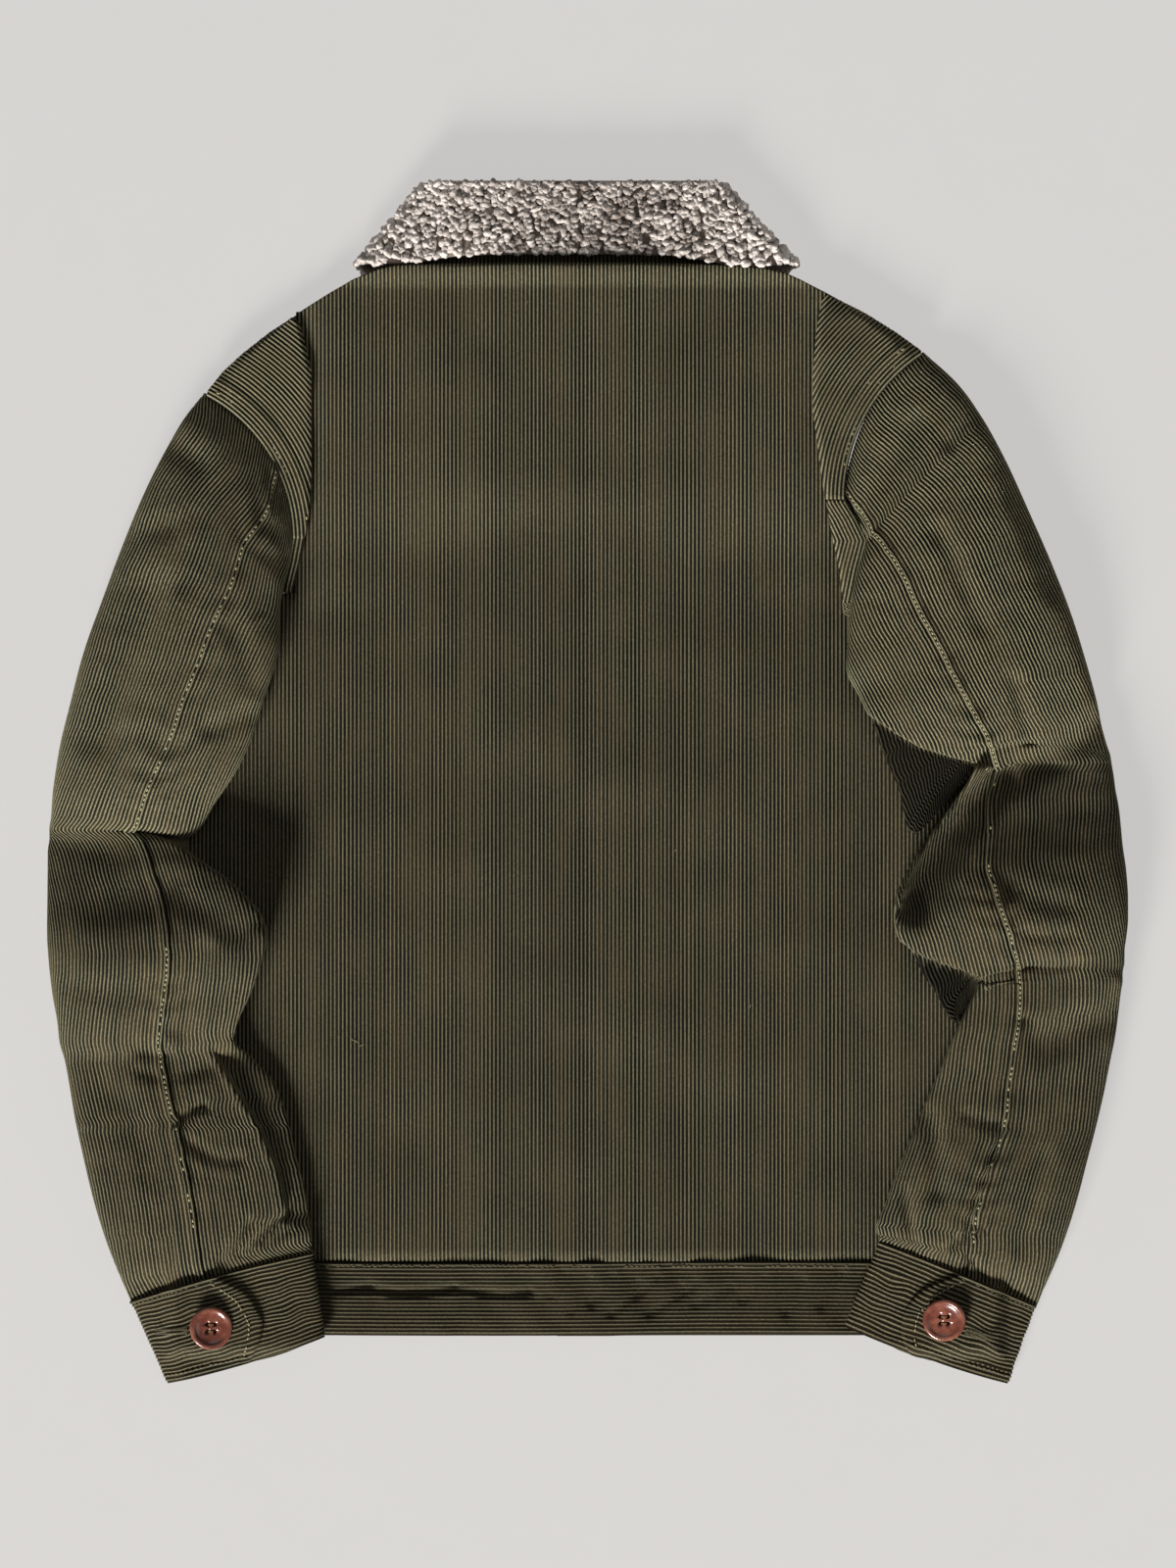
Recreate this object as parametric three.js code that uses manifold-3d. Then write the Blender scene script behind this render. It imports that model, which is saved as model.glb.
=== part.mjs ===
import * as THREE from 'three';
import { mergeVertices } from 'three/addons/utils/BufferGeometryUtils.js';
import Module from 'manifold-3d';

// Corduroy jacket laid flat on its front, back side up, sleeves brought down beside the body.
// Millimetres, +Z up, +Y towards the collar, floor at Z = 0. Left and right are the wearer's.

// Driving dimensions
const wall = 3;
const seamGap = 0.3;
const fleece = 6;
const centreX = -5;
const neckTop = 305;
const hemSeam = -283;
const hemEdge = -327;
const frontNeckY = 236;
const neckHalf = 112;
const overlapHalf = 13;
const layer = wall + seamGap;
const panelGap = 0.9;
const armholeGap = 1;
const restGap = 1.2;
const bodyLoft = 3.4;
const shoulderLoft = 9;
const creaseStep = 3.5;
const cuffRise = 14;
const cuffButtonRadius = 12.7;
const cuffButtonThick = 4;
const frontButtonRadius = 10;
const frontButtonThick = 2.4;
const frontButtonCount = 5;
const frontButtonTop = 124;
const frontButtonPitch = 107;
const holeRadius = 1.3;
const holeOffset = 2.9;
const sleeveTopSteps = 6;
const sleeveUnderSteps = 4;
const bodyRowStep = 24;

// Colours of the finishes
const cordOlive = { color: 0x4c4837, roughness: 0.95, metalness: 0 };
const cordDark = { color: 0x38352a, roughness: 0.95, metalness: 0 };
const fleeceGrey = { color: 0x887d74, roughness: 1, metalness: 0 };
const buttonBrown = { color: 0x6a4034, roughness: 0.3, metalness: 0 };

// Sleeve sections from shoulder to cuff. outX outY: outer edge, inX inY: inner edge,
// bowX bowY: how far the middle bows, seamX: where the back seam crosses, high: top of the arm.
const leftSections = [
  { outX: -226, outY: 230, inX: -173, inY: 145, bowX: 10, bowY: 10, seamX: -183, high: 18 },
  { outX: -238, outY: 214, inX: -176, inY: 131, bowX: 6, bowY: 6, seamX: -188, high: 24 },
  { outX: -257, outY: 179, inX: -180, inY: 115, bowX: 3, bowY: 3, seamX: -201, high: 31 },
  { outX: -272, outY: 144, inX: -182, inY: 99, bowX: 0, bowY: 2, seamX: -208, high: 35 },
  { outX: -285, outY: 109, inX: -182, inY: 83, bowX: 0, bowY: 0, seamX: -218, high: 37 },
  { outX: -297, outY: 75, inX: -185, inY: 68, bowX: 0, bowY: 0, seamX: -226, high: 38 },
  { outX: -305, outY: 44, inX: -192, inY: 47, bowX: 0, bowY: 0, seamX: -236, high: 38 },
  { outX: -310, outY: 24, inX: -199, inY: 25, bowX: 0, bowY: 0, seamX: -243, high: 37 },
  { outX: -313, outY: 7, inX: -207, inY: 8, bowX: 0, bowY: 0, seamX: -251, high: 36 },
  { outX: -315, outY: -8, inX: -219, inY: -10, bowX: 0, bowY: 0, seamX: -258, high: 34 },
  { outX: -316, outY: -21, inX: -236, inY: -32, bowX: 0, bowY: 2, seamX: -264, high: 30 },
  { outX: -317, outY: -27, inX: -260, inY: -29, bowX: 0, bowY: 0, seamX: -268, high: 25 },
  { outX: -317, outY: -33, inX: -244, inY: -36, bowX: 0, bowY: 0, seamX: -261, high: 31 },
  { outX: -318, outY: -41, inX: -229, inY: -46, bowX: 0, bowY: 0, seamX: -257, high: 35 },
  { outX: -318, outY: -51, inX: -214, inY: -56, bowX: 0, bowY: 0, seamX: -254, high: 37 },
  { outX: -318, outY: -63, inX: -202, inY: -67, bowX: 0, bowY: 0, seamX: -250, high: 38 },
  { outX: -318, outY: -76, inX: -192, inY: -79, bowX: 0, bowY: 0, seamX: -247, high: 38 },
  { outX: -318, outY: -88, inX: -189, inY: -91, bowX: 0, bowY: 0, seamX: -245, high: 37 },
  { outX: -317, outY: -105, inX: -193, inY: -107, bowX: 0, bowY: 0, seamX: -244, high: 35 },
  { outX: -315, outY: -124, inX: -199, inY: -124, bowX: 0, bowY: 0, seamX: -246, high: 33 },
  { outX: -312, outY: -142, inX: -207, inY: -142, bowX: 0, bowY: 0, seamX: -249, high: 31 },
  { outX: -311, outY: -153, inX: -209, inY: -152, bowX: 0, bowY: 0, seamX: -250, high: 29 },
  { outX: -308, outY: -164, inX: -198, inY: -163, bowX: 0, bowY: 0, seamX: -249, high: 29 },
  { outX: -305, outY: -180, inX: -185, inY: -178, bowX: 0, bowY: 0, seamX: -246, high: 29 },
  { outX: -302, outY: -198, inX: -178, inY: -197, bowX: 0, bowY: 0, seamX: -242, high: 28 },
  { outX: -297, outY: -221, inX: -173, inY: -218, bowX: 0, bowY: 0, seamX: -237, high: 27 },
  { outX: -291, outY: -246, inX: -167, inY: -242, bowX: 0, bowY: 0, seamX: -232, high: 26 },
  { outX: -284, outY: -269, inX: -164, inY: -262, bowX: 0, bowY: 0, seamX: -229, high: 26 },
  { outX: -270, outY: -305, inX: -163, inY: -276, bowX: 0, bowY: 2, seamX: -226, high: 24 },
];
const rightSections = [
  { outX: 198, outY: 254, inX: 151, inY: 166, bowX: -8, bowY: 10, seamX: 152, high: 18 },
  { outX: 219, outY: 234, inX: 159, inY: 155, bowX: -3, bowY: 6, seamX: 160, high: 24 },
  { outX: 233, outY: 214, inX: 165, inY: 143, bowX: 0, bowY: 3, seamX: 167, high: 30 },
  { outX: 247, outY: 188, inX: 160, inY: 126, bowX: 0, bowY: 0, seamX: 174, high: 34 },
  { outX: 261, outY: 157, inX: 156, inY: 106, bowX: 0, bowY: 0, seamX: 184, high: 37 },
  { outX: 274, outY: 127, inX: 154, inY: 86, bowX: 0, bowY: 0, seamX: 193, high: 38 },
  { outX: 285, outY: 98, inX: 153, inY: 68, bowX: 0, bowY: 0, seamX: 204, high: 39 },
  { outX: 294, outY: 69, inX: 161, inY: 50, bowX: 0, bowY: 0, seamX: 215, high: 39 },
  { outX: 300, outY: 47, inX: 170, inY: 31, bowX: 0, bowY: 0, seamX: 226, high: 37 },
  { outX: 303, outY: 33, inX: 176, inY: 15, bowX: 0, bowY: 2, seamX: 233, high: 35 },
  { outX: 306, outY: 22, inX: 184, inY: -3, bowX: -6, bowY: 13, seamX: 235, high: 32 },
  { outX: 308, outY: 16, inX: 193, inY: -30, bowX: -17, bowY: 24, seamX: 236, high: 27 },
  { outX: 309, outY: 10, inX: 231, inY: 12, bowX: 0, bowY: 0, seamX: 241, high: 27 },
  { outX: 310, outY: 4, inX: 224, inY: -1, bowX: 0, bowY: 0, seamX: 238, high: 31 },
  { outX: 311, outY: -4, inX: 215, inY: -14, bowX: 0, bowY: 0, seamX: 236, high: 35 },
  { outX: 313, outY: -15, inX: 204, inY: -29, bowX: 0, bowY: 0, seamX: 235, high: 37 },
  { outX: 314, outY: -25, inX: 195, inY: -42, bowX: 0, bowY: 0, seamX: 234, high: 38 },
  { outX: 315, outY: -37, inX: 187, inY: -56, bowX: 0, bowY: 0, seamX: 233, high: 39 },
  { outX: 317, outY: -52, inX: 182, inY: -68, bowX: 0, bowY: 0, seamX: 236, high: 39 },
  { outX: 318, outY: -68, inX: 181, inY: -80, bowX: 0, bowY: 0, seamX: 240, high: 39 },
  { outX: 318, outY: -80, inX: 183, inY: -90, bowX: 0, bowY: 0, seamX: 244, high: 38 },
  { outX: 317, outY: -91, inX: 189, inY: -99, bowX: 0, bowY: 0, seamX: 247, high: 36 },
  { outX: 316, outY: -99, inX: 197, inY: -111, bowX: 0, bowY: 1, seamX: 250, high: 34 },
  { outX: 316, outY: -106, inX: 206, inY: -124, bowX: -5, bowY: 8, seamX: 251, high: 33 },
  { outX: 315, outY: -112, inX: 218, inY: -142, bowX: -29, bowY: 15, seamX: 251, high: 31 },
  { outX: 315, outY: -117, inX: 232, inY: -117, bowX: 0, bowY: 0, seamX: 252, high: 31 },
  { outX: 314, outY: -124, inX: 227, inY: -128, bowX: 0, bowY: 0, seamX: 252, high: 31 },
  { outX: 313, outY: -134, inX: 220, inY: -142, bowX: 0, bowY: 0, seamX: 251, high: 31 },
  { outX: 311, outY: -149, inX: 214, inY: -156, bowX: 0, bowY: 0, seamX: 249, high: 31 },
  { outX: 308, outY: -164, inX: 207, inY: -173, bowX: 0, bowY: 0, seamX: 247, high: 30 },
  { outX: 304, outY: -184, inX: 201, inY: -186, bowX: 0, bowY: 0, seamX: 245, high: 29 },
  { outX: 299, outY: -205, inX: 193, inY: -205, bowX: 0, bowY: 0, seamX: 243, high: 28 },
  { outX: 294, outY: -224, inX: 185, inY: -224, bowX: 0, bowY: 0, seamX: 237, high: 27 },
  { outX: 288, outY: -247, inX: 177, inY: -246, bowX: 0, bowY: 0, seamX: 230, high: 26 },
  { outX: 280, outY: -272, inX: 171, inY: -262, bowX: 0, bowY: 0, seamX: 225, high: 26 },
  { outX: 265, outY: -308, inX: 173, inY: -270, bowX: 0, bowY: 1, seamX: 224, high: 24 },
];

// Largest folds of the sleeves: a soft trough from one point by a middle point to another.
const sleeveFolds = [
  { fromX: -316, fromY: -27, midX: -288, midY: -26, toX: -261, toY: -27, wide: 15, deep: 9 },
  { fromX: -284, fromY: -76, midX: -266, midY: -74, toX: -252, toY: -69, wide: 15, deep: 5 },
  { fromX: -249, fromY: -59, midX: -222, midY: -76, toX: -196, toY: -82, wide: 13, deep: 6 },
  { fromX: -195, fromY: -190, midX: -186, midY: -215, toX: -171, toY: -250, wide: 14, deep: 5 },
  { fromX: 177, fromY: 12, midX: 188, midY: -10, toX: 192, toY: -36, wide: 18, deep: 17 },
  { fromX: 302, fromY: 35, midX: 270, midY: 12, toX: 240, toY: 5, wide: 14, deep: 9 },
  { fromX: 255, fromY: -30, midX: 214, midY: -50, toX: 184, toY: -75, wide: 17, deep: 7 },
  { fromX: 199, fromY: -112, midX: 206, midY: -128, toX: 218, toY: -141, wide: 12, deep: 12 },
  { fromX: 192, fromY: 211, midX: 176, midY: 186, toX: 163, toY: 159, wide: 12, deep: 4 },
];

// Body outline below the armholes, above them and along the shoulder creases, from top down
const shoulderLeft = [
  { y: 305, x: -113 }, { y: 303, x: -123 }, { y: 300, x: -130 }, { y: 297, x: -138 },
  { y: 289, x: -152 }, { y: 278, x: -170 }, { y: 266, x: -188 }, { y: 254, x: -203 },
  { y: 243, x: -215 }, { y: 231, x: -224.5 },
];
const shoulderRight = [
  { y: 305, x: 84 }, { y: 303, x: 106 }, { y: 300, x: 118 }, { y: 297, x: 125 },
  { y: 289, x: 141 }, { y: 278, x: 163 }, { y: 266, x: 182 }, { y: 255, x: 197 },
];
const sideLeft = [
  { y: 145, x: -171.5 }, { y: 131, x: -174.5 }, { y: 115, x: -178.5 }, { y: 99, x: -180.5 },
  { y: 92, x: -204 }, { y: 80, x: -223 }, { y: 57, x: -235 }, { y: 22, x: -239 },
  { y: -30, x: -240 }, { y: -330, x: -238 },
];
const sideRight = [
  { y: 166, x: 149.5 }, { y: 155, x: 157 }, { y: 143, x: 163 }, { y: 126, x: 158.5 },
  { y: 106, x: 154.5 }, { y: 98, x: 175 }, { y: 89, x: 201 }, { y: 80, x: 218 },
  { y: 57, x: 232 }, { y: 22, x: 237 }, { y: -30, x: 238 }, { y: -330, x: 234 },
];
const creaseLeft = [
  { y: 279, x: -172 }, { y: 260, x: -167 }, { y: 243, x: -163 }, { y: 185, x: -163 },
  { y: 162, x: -164 }, { y: 138, x: -168 }, { y: 112, x: -175 }, { y: -330, x: -200 },
];
const creaseRight = [
  { y: 283, x: 138 }, { y: 266, x: 135 }, { y: 243, x: 133 }, { y: 220, x: 133 },
  { y: 196, x: 136 }, { y: 162, x: 141 }, { y: 127, x: 148 }, { y: 86, x: 152 },
  { y: -330, x: 196 },
];

// Collar from the left point over the left shoulder, along the back and down to the right
// point: rollX rollY on the fold at its top, edgeX edgeY on the free edge, seamX seamY on the
// neck seam, side: 0 under the body, 1 above it.
const collarStations = [
  { rollX: -7, rollY: 238, edgeX: -55, edgeY: 191, seamX: -9, seamY: 231, side: 0 },
  { rollX: -30, rollY: 262, edgeX: -78, edgeY: 214, seamX: -38, seamY: 244, side: 0 },
  { rollX: -56, rollY: 296, edgeX: -103, edgeY: 246, seamX: -72, seamY: 263, side: 0 },
  { rollX: -80, rollY: 332, edgeX: -122, edgeY: 276, seamX: -99, seamY: 286, side: 0 },
  { rollX: -93, rollY: 351, edgeX: -134, edgeY: 303, seamX: -116, seamY: 299, side: 0.2 },
  { rollX: -97, rollY: 353, edgeX: -137, edgeY: 305, seamX: -119, seamY: 302, side: 0.5 },
  { rollX: -94, rollY: 354, edgeX: -132, edgeY: 306, seamX: -116, seamY: 305.3, side: 0.8 },
  { rollX: -84, rollY: 355, edgeX: -114, edgeY: 306, seamX: -100, seamY: 305.3, side: 1 },
  { rollX: -56, rollY: 355, edgeX: -70, edgeY: 311, seamX: -66, seamY: 305.3, side: 1 },
  { rollX: -8, rollY: 355, edgeX: -8, edgeY: 312, seamX: -8, seamY: 305.3, side: 1 },
  { rollX: 36, rollY: 355, edgeX: 48, edgeY: 311, seamX: 46, seamY: 305.3, side: 1 },
  { rollX: 64, rollY: 355, edgeX: 98, edgeY: 304, seamX: 78, seamY: 305.3, side: 1 },
  { rollX: 76, rollY: 354, edgeX: 119, edgeY: 306, seamX: 98, seamY: 305.3, side: 0.8 },
  { rollX: 80, rollY: 353, edgeX: 124, edgeY: 305, seamX: 102, seamY: 302, side: 0.5 },
  { rollX: 76, rollY: 351, edgeX: 121, edgeY: 303, seamX: 99, seamY: 299, side: 0.2 },
  { rollX: 62, rollY: 332, edgeX: 108, edgeY: 276, seamX: 83, seamY: 286, side: 0 },
  { rollX: 40, rollY: 296, edgeX: 90, edgeY: 246, seamX: 58, seamY: 263, side: 0 },
  { rollX: 16, rollY: 262, edgeX: 66, edgeY: 214, seamX: 26, seamY: 244, side: 0 },
  { rollX: -3, rollY: 238, edgeX: 45, edgeY: 191, seamX: -1, seamY: 231, side: 0 },
];

// Cuffs: four corners, where the tab ends between seam and edge, and the button on the tab.
const cuffLeft = {
  outTop: [-269.6, -306.3], inTop: [-162.6, -277.4], outLow: [-248, -355], inLow: [-155, -327],
  bowTop: [0, 2], bowLow: [0, -2], button: [-222, -321],
  tabReach: [0.47, 0.58, 0.64, 0.66, 0.62, 0.53], underReach: 0.22,
};
const cuffRight = {
  outTop: [264.5, -308.9], inTop: [172.8, -270.9], outLow: [248, -355], inLow: [152, -321],
  bowTop: [0, 1], bowLow: [0, -2], button: [210, -316],
  tabReach: [0.48, 0.61, 0.69, 0.72, 0.7, 0.62], underReach: 0.24,
};

const wasm = await Module();
wasm.setup();

const lerp = (a, b, t) => a + (b - a) * t;
const clamp01 = (t) => Math.min(1, Math.max(0, t));
const ease = (a, b, x) => {
  const t = clamp01((x - a) / (b - a));
  return t * t * (3 - 2 * t);
};

// Value of a column at a height y in a table whose rows run from top to bottom
function across(table, y) {
  if (y >= table[0].y) return table[0].x;
  for (let i = 1; i < table.length; i += 1) {
    const high = table[i - 1];
    const low = table[i];
    if (y >= low.y) return lerp(low.x, high.x, (y - low.y) / (high.y - low.y));
  }
  return table[table.length - 1].x;
}

// Point on a sleeve section between its outer edge (0) and inner edge (1)
function sectionPoint(row, s, inset) {
  const dx = row.inX - row.outX;
  const dy = row.inY - row.outY;
  const reach = inset / Math.hypot(dx, dy);
  const t = lerp(reach, 1 - reach, s);
  const bow = 4 * t * (1 - t);
  return [row.outX + dx * t + row.bowX * bow, row.outY + dy * t + row.bowY * bow];
}

// Armhole seam: where the first sleeve section crosses a height y
function armholeX(row, y) {
  let low = 0;
  let high = 1;
  for (let k = 0; k < 24; k += 1) {
    const middle = (low + high) / 2;
    if (sectionPoint(row, middle, 0)[1] > y) low = middle;
    else high = middle;
  }
  return sectionPoint(row, low, 0)[0];
}

function bodyLeft(y) {
  const row = leftSections[0];
  if (y > row.outY) return across(shoulderLeft, y);
  if (y > row.inY) return armholeX(row, y) + armholeGap;
  return across(sideLeft, y);
}

function bodyRight(y) {
  const row = rightSections[0];
  if (y > row.outY) return across(shoulderRight, y);
  if (y > row.inY) return armholeX(row, y) - armholeGap;
  return across(sideRight, y);
}

// How far the collar's front points lift the fronts, and the buttons lift the overlap
function frontLift(x, y, spread = 0) {
  const away = Math.abs(x - centreX);
  const sideways = 1 - ease(136 + spread, 172 + spread, away);
  const collar = (fleece + seamGap * 2) * ease(136 - spread, 186 - spread, y) * sideways;
  const buttons = (frontButtonThick + seamGap) * (1 - ease(16 + spread, 60 + spread, away));
  return Math.max(collar, buttons);
}

// Right front steps over the left one at the centre
function overlapLift(x) {
  return (layer + panelGap) * (1 - ease(overlapHalf + 3, overlapHalf + 15, x - centreX));
}

// Shoulder flaps: the cloth beyond the crease lies on top and rises to the armhole
function flapLift(x, y) {
  const fade = ease(98, 128, y) * (1 - ease(272, 292, y));
  const left = across(creaseLeft, y) - x;
  const right = x - across(creaseRight, y);
  const past = Math.max(left, right);
  const step = creaseStep * ease(-1.5, 0.5, past);
  const rise = (shoulderLoft - creaseStep) * ease(0, 46, past);
  return fade * (step + rise);
}

// Height of the underside of the back panel
function backUnder(x, y) {
  const left = bodyLeft(y);
  const right = bodyRight(y);
  const middle = (left + right) / 2;
  const half = (right - left) / 2;
  const away = clamp01(Math.abs(x - middle) / half);
  const crown = bodyLoft * (1 - away * away) * (1 - ease(230, 296, y));
  const placket = (layer + panelGap) * (1 - ease(22, 80, Math.abs(x - centreX)));
  return frontLift(x, y, 7) + wall + panelGap + Math.max(crown, placket) + flapLift(x, y);
}

// Top of what a sleeve or cuff lies on: the body under it, or the floor
function restHeight(x, y) {
  const low = Math.max(y, hemEdge);
  const beside = Math.max(bodyLeft(low) - x, x - bodyRight(low), hemEdge - y, 0);
  const inside = Math.min(Math.max(x, bodyLeft(low) + 1), bodyRight(low) - 1);
  const body = backUnder(inside, low) + wall + restGap;
  return body * (1 - ease(4, 15, beside));
}

// Depth of the sleeve folds at a place
function foldDepth(x, y) {
  let depth = 0;
  for (const fold of sleeveFolds) {
    let near = Infinity;
    for (let k = 0; k <= 12; k += 1) {
      const t = k / 12;
      const a = (1 - t) * (1 - t);
      const b = 2 * t * (1 - t);
      const px = a * fold.fromX + b * fold.midX + t * t * fold.toX;
      const py = a * fold.fromY + b * fold.midY + t * t * fold.toY;
      near = Math.min(near, Math.hypot(x - px, y - py));
    }
    depth = Math.max(depth, fold.deep * (1 - ease(0, fold.wide, near)));
  }
  return depth;
}

// Closed solid from rows of paired points, one on each face of the cloth
function clothSolid(rows) {
  const wide = rows[0].length;
  const last = wide - 1;
  const end = rows.length - 1;
  const at = (i, j, side) => (i * wide + j) * 2 + side;
  const points = rows.flat().flatMap((pair) => [...pair.outer, ...pair.inner]);
  const faces = [];
  const quad = (a, b, c, d) => faces.push(a, b, c, a, c, d);
  for (let i = 0; i < end; i += 1) {
    for (let j = 0; j < last; j += 1) {
      quad(at(i, j, 0), at(i + 1, j, 0), at(i + 1, j + 1, 0), at(i, j + 1, 0));
      quad(at(i, j, 1), at(i, j + 1, 1), at(i + 1, j + 1, 1), at(i + 1, j, 1));
    }
    quad(at(i + 1, 0, 0), at(i, 0, 0), at(i, 0, 1), at(i + 1, 0, 1));
    quad(at(i, last, 0), at(i + 1, last, 0), at(i + 1, last, 1), at(i, last, 1));
  }
  for (let j = 0; j < last; j += 1) {
    quad(at(0, j, 0), at(0, j + 1, 0), at(0, j + 1, 1), at(0, j, 1));
    quad(at(end, j + 1, 0), at(end, j, 0), at(end, j, 1), at(end, j + 1, 1));
  }
  return outward(points, faces);
}

// Geometry whose faces point out, turned round where the volume comes out negative
function outward(points, faces) {
  let volume = 0;
  const corner = (k) => new THREE.Vector3().fromArray(points, faces[k] * 3);
  for (let k = 0; k < faces.length; k += 3) {
    volume += corner(k).dot(corner(k + 1).cross(corner(k + 2)));
  }
  const order = volume < 0 ? faces.slice().reverse() : faces;
  const geometry = new THREE.BufferGeometry();
  geometry.setAttribute('position', new THREE.Float32BufferAttribute(points, 3));
  geometry.setIndex(order);
  return geometry;
}

const jacket = new THREE.Group();

function addPiece(name, geometry, finish, place = [0, 0, 0], turn = [0, 0, 0]) {
  const mesh = new THREE.Mesh(geometry, new THREE.MeshStandardMaterial(finish));
  mesh.name = name;
  mesh.position.set(...place);
  mesh.rotation.set(...turn);
  jacket.add(mesh);
}

// Flat panel: for each height a left and a right edge, cloth between, thickness straight up
function panel(heights, leftAt, rightAt, columns, underAt) {
  const rows = heights.map((y) => columns(leftAt(y), rightAt(y), y).map((x) => {
    const z = underAt(x, y);
    return { outer: [x, y, z + wall], inner: [x, y, z] };
  }));
  return clothSolid(rows);
}

function evenly(count) {
  return (left, right) => Array.from({ length: count }, (_, k) => lerp(left, right, k / (count - 1)));
}

// Columns of the back: close together at both shoulder creases
function backColumns(left, right, y) {
  const room = 7;
  const creaseA = Math.max(across(creaseLeft, y), left + room);
  const creaseB = Math.min(across(creaseRight, y), right - room);
  const flapA = [0, 0.34, 0.67].map((t) => lerp(left, creaseA - 0.5, t));
  const flapB = [0.33, 0.66, 1].map((t) => lerp(creaseB + 0.5, right, t));
  const middle = [0, 0.09, 0.22, 0.36, 0.5, 0.64, 0.78, 0.91, 1];
  const centre = middle.map((t) => lerp(creaseA + 1.5, creaseB - 1.5, t));
  return [...flapA, creaseA - 0.5, ...centre, creaseB + 0.5, ...flapB];
}

// Heights at which a panel bends: its outline's own rows and even steps between
function panelHeights(top, bottom, outline) {
  const marks = outline.map((row) => row.y).filter((y) => y < top && y > bottom);
  const all = [top, ...marks, bottom].sort((a, b) => b - a);
  const heights = [all[0]];
  for (const y of all.slice(1)) {
    const from = heights[heights.length - 1];
    if (from - y < 3) continue;
    const parts = Math.ceil((from - y) / bodyRowStep - 0.4);
    const steps = Math.max(1, Math.min(parts, y < 0 ? 5 : parts));
    for (let k = 1; k <= steps; k += 1) heights.push(lerp(from, y, k / steps));
  }
  heights[heights.length - 1] = bottom;
  return heights;
}

function addBack() {
  const outline = [...shoulderLeft, { y: 215 }, { y: 198 }, { y: 184 }, { y: 174 }, { y: 166 }, ...sideLeft.slice(0, -1)];
  const heights = panelHeights(neckTop, hemSeam + seamGap, [...outline, { y: 106 }, { y: 254 }]);
  addPiece('back_panel', panel(heights, bodyLeft, bodyRight, backColumns, backUnder), cordOlive);
  const bandRows = [hemSeam, (hemSeam + hemEdge) / 2, hemEdge];
  const band = panel(bandRows, bodyLeft, bodyRight, backColumns, backUnder);
  addPiece('hem_band_back', band, cordDark);
}

// Neck edge of a front: from the centre front up to the side of the neck
function neckX(side, y) {
  const rise = clamp01((y - frontNeckY) / (neckTop - frontNeckY));
  const half = lerp(overlapHalf - 9, neckHalf - 6, Math.pow(rise, 0.75));
  return centreX + side * half;
}

function frontEdge(side, y) {
  if (y >= frontNeckY) return neckX(side, y);
  const taper = ease(frontNeckY, frontNeckY - 12, y);
  return lerp(neckX(side, frontNeckY), centreX - side * overlapHalf, taper);
}

function addFronts() {
  const top = 296;
  const neckRows = [{ y: 290 }, { y: 276 }, { y: 258 }, { y: frontNeckY }, { y: frontNeckY - 12 }];
  const armRows = [{ y: 215 }, { y: 198 }, { y: 184 }, { y: 174 }, { y: 166 }];
  const heightsL = panelHeights(top, hemSeam + seamGap, [...neckRows, ...armRows, ...sideLeft.slice(0, -1)]);
  const heightsR = panelHeights(top, hemSeam + seamGap, [...neckRows, ...armRows, ...sideRight.slice(0, -1)]);
  const bandRows = [hemSeam, (hemSeam + hemEdge) / 2, hemEdge];
  const leftEdge = (y) => frontEdge(-1, y);
  const rightEdge = (y) => frontEdge(1, y);
  const rightUnder = (x, y) => frontLift(x, y) + overlapLift(x);
  const leftColumns = (a, b) => [0, 0.22, 0.45, 0.62, 0.72, 0.8, 0.88, 0.94, 1].map((t) => lerp(a, b, t));
  const rightColumns = (a, b) => [0, 0.06, 0.1, 0.14, 0.2, 0.28, 0.4, 0.6, 0.8, 1].map((t) => lerp(a, b, t));
  addPiece('front_left_panel', panel(heightsL, bodyLeft, leftEdge, leftColumns, frontLift), cordOlive);
  addPiece('front_right_panel', panel(heightsR, rightEdge, bodyRight, rightColumns, rightUnder), cordOlive);
  addPiece('hem_band_front_left', panel(bandRows, bodyLeft, leftEdge, leftColumns, frontLift), cordDark);
  addPiece('hem_band_front_right', panel(bandRows, rightEdge, bodyRight, rightColumns, rightUnder), cordDark);
}

// Paired points of a sleeve at a share of the way across it, on its top or its underside
function sleevePair(row, angle, onTop, settle) {
  const s = (1 - Math.cos(angle)) / 2;
  const swell = Math.pow(1 - Math.pow(Math.abs(2 * s - 1), 2.5), 1 / 2.5);
  const pairs = [0, wall].map((inset) => {
    const [x, y] = sectionPoint(row, s, inset);
    const base = restHeight(x, y) * settle;
    const high = Math.max(row.high - foldDepth(x, y), base + 2 * wall + 3);
    const loft = high - base;
    const top = base + loft * (0.42 + 0.58 * swell) - inset * swell;
    const under = base + loft * 0.42 * (1 - swell) + inset * swell;
    return [x, y, onTop ? top : under];
  });
  return { outer: pairs[0], inner: pairs[1] };
}

// Share of the way across a section where it passes over the side of the body
function bodyShare(row, beyond) {
  let low = 0.12;
  let high = 0.9;
  for (let k = 0; k < 24; k += 1) {
    const middle = (low + high) / 2;
    const [x, y] = sectionPoint(row, middle, 0);
    const level = Math.max(y, hemEdge);
    const outside = Math.max(bodyLeft(level) - x, x - bodyRight(level));
    if (outside > beyond) low = middle;
    else high = middle;
  }
  return low;
}

const angleAt = (share) => Math.acos(1 - 2 * share);

// Angle across a section where the back seam runs
function seamAngle(row) {
  let low = 0;
  let high = 1;
  const sign = Math.sign(row.inX - row.outX);
  for (let k = 0; k < 24; k += 1) {
    const middle = (low + high) / 2;
    if ((sectionPoint(row, middle, 0)[0] - row.seamX) * sign < 0) low = middle;
    else high = middle;
  }
  return angleAt(Math.min(0.965, Math.max(0.2, low)));
}

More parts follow.
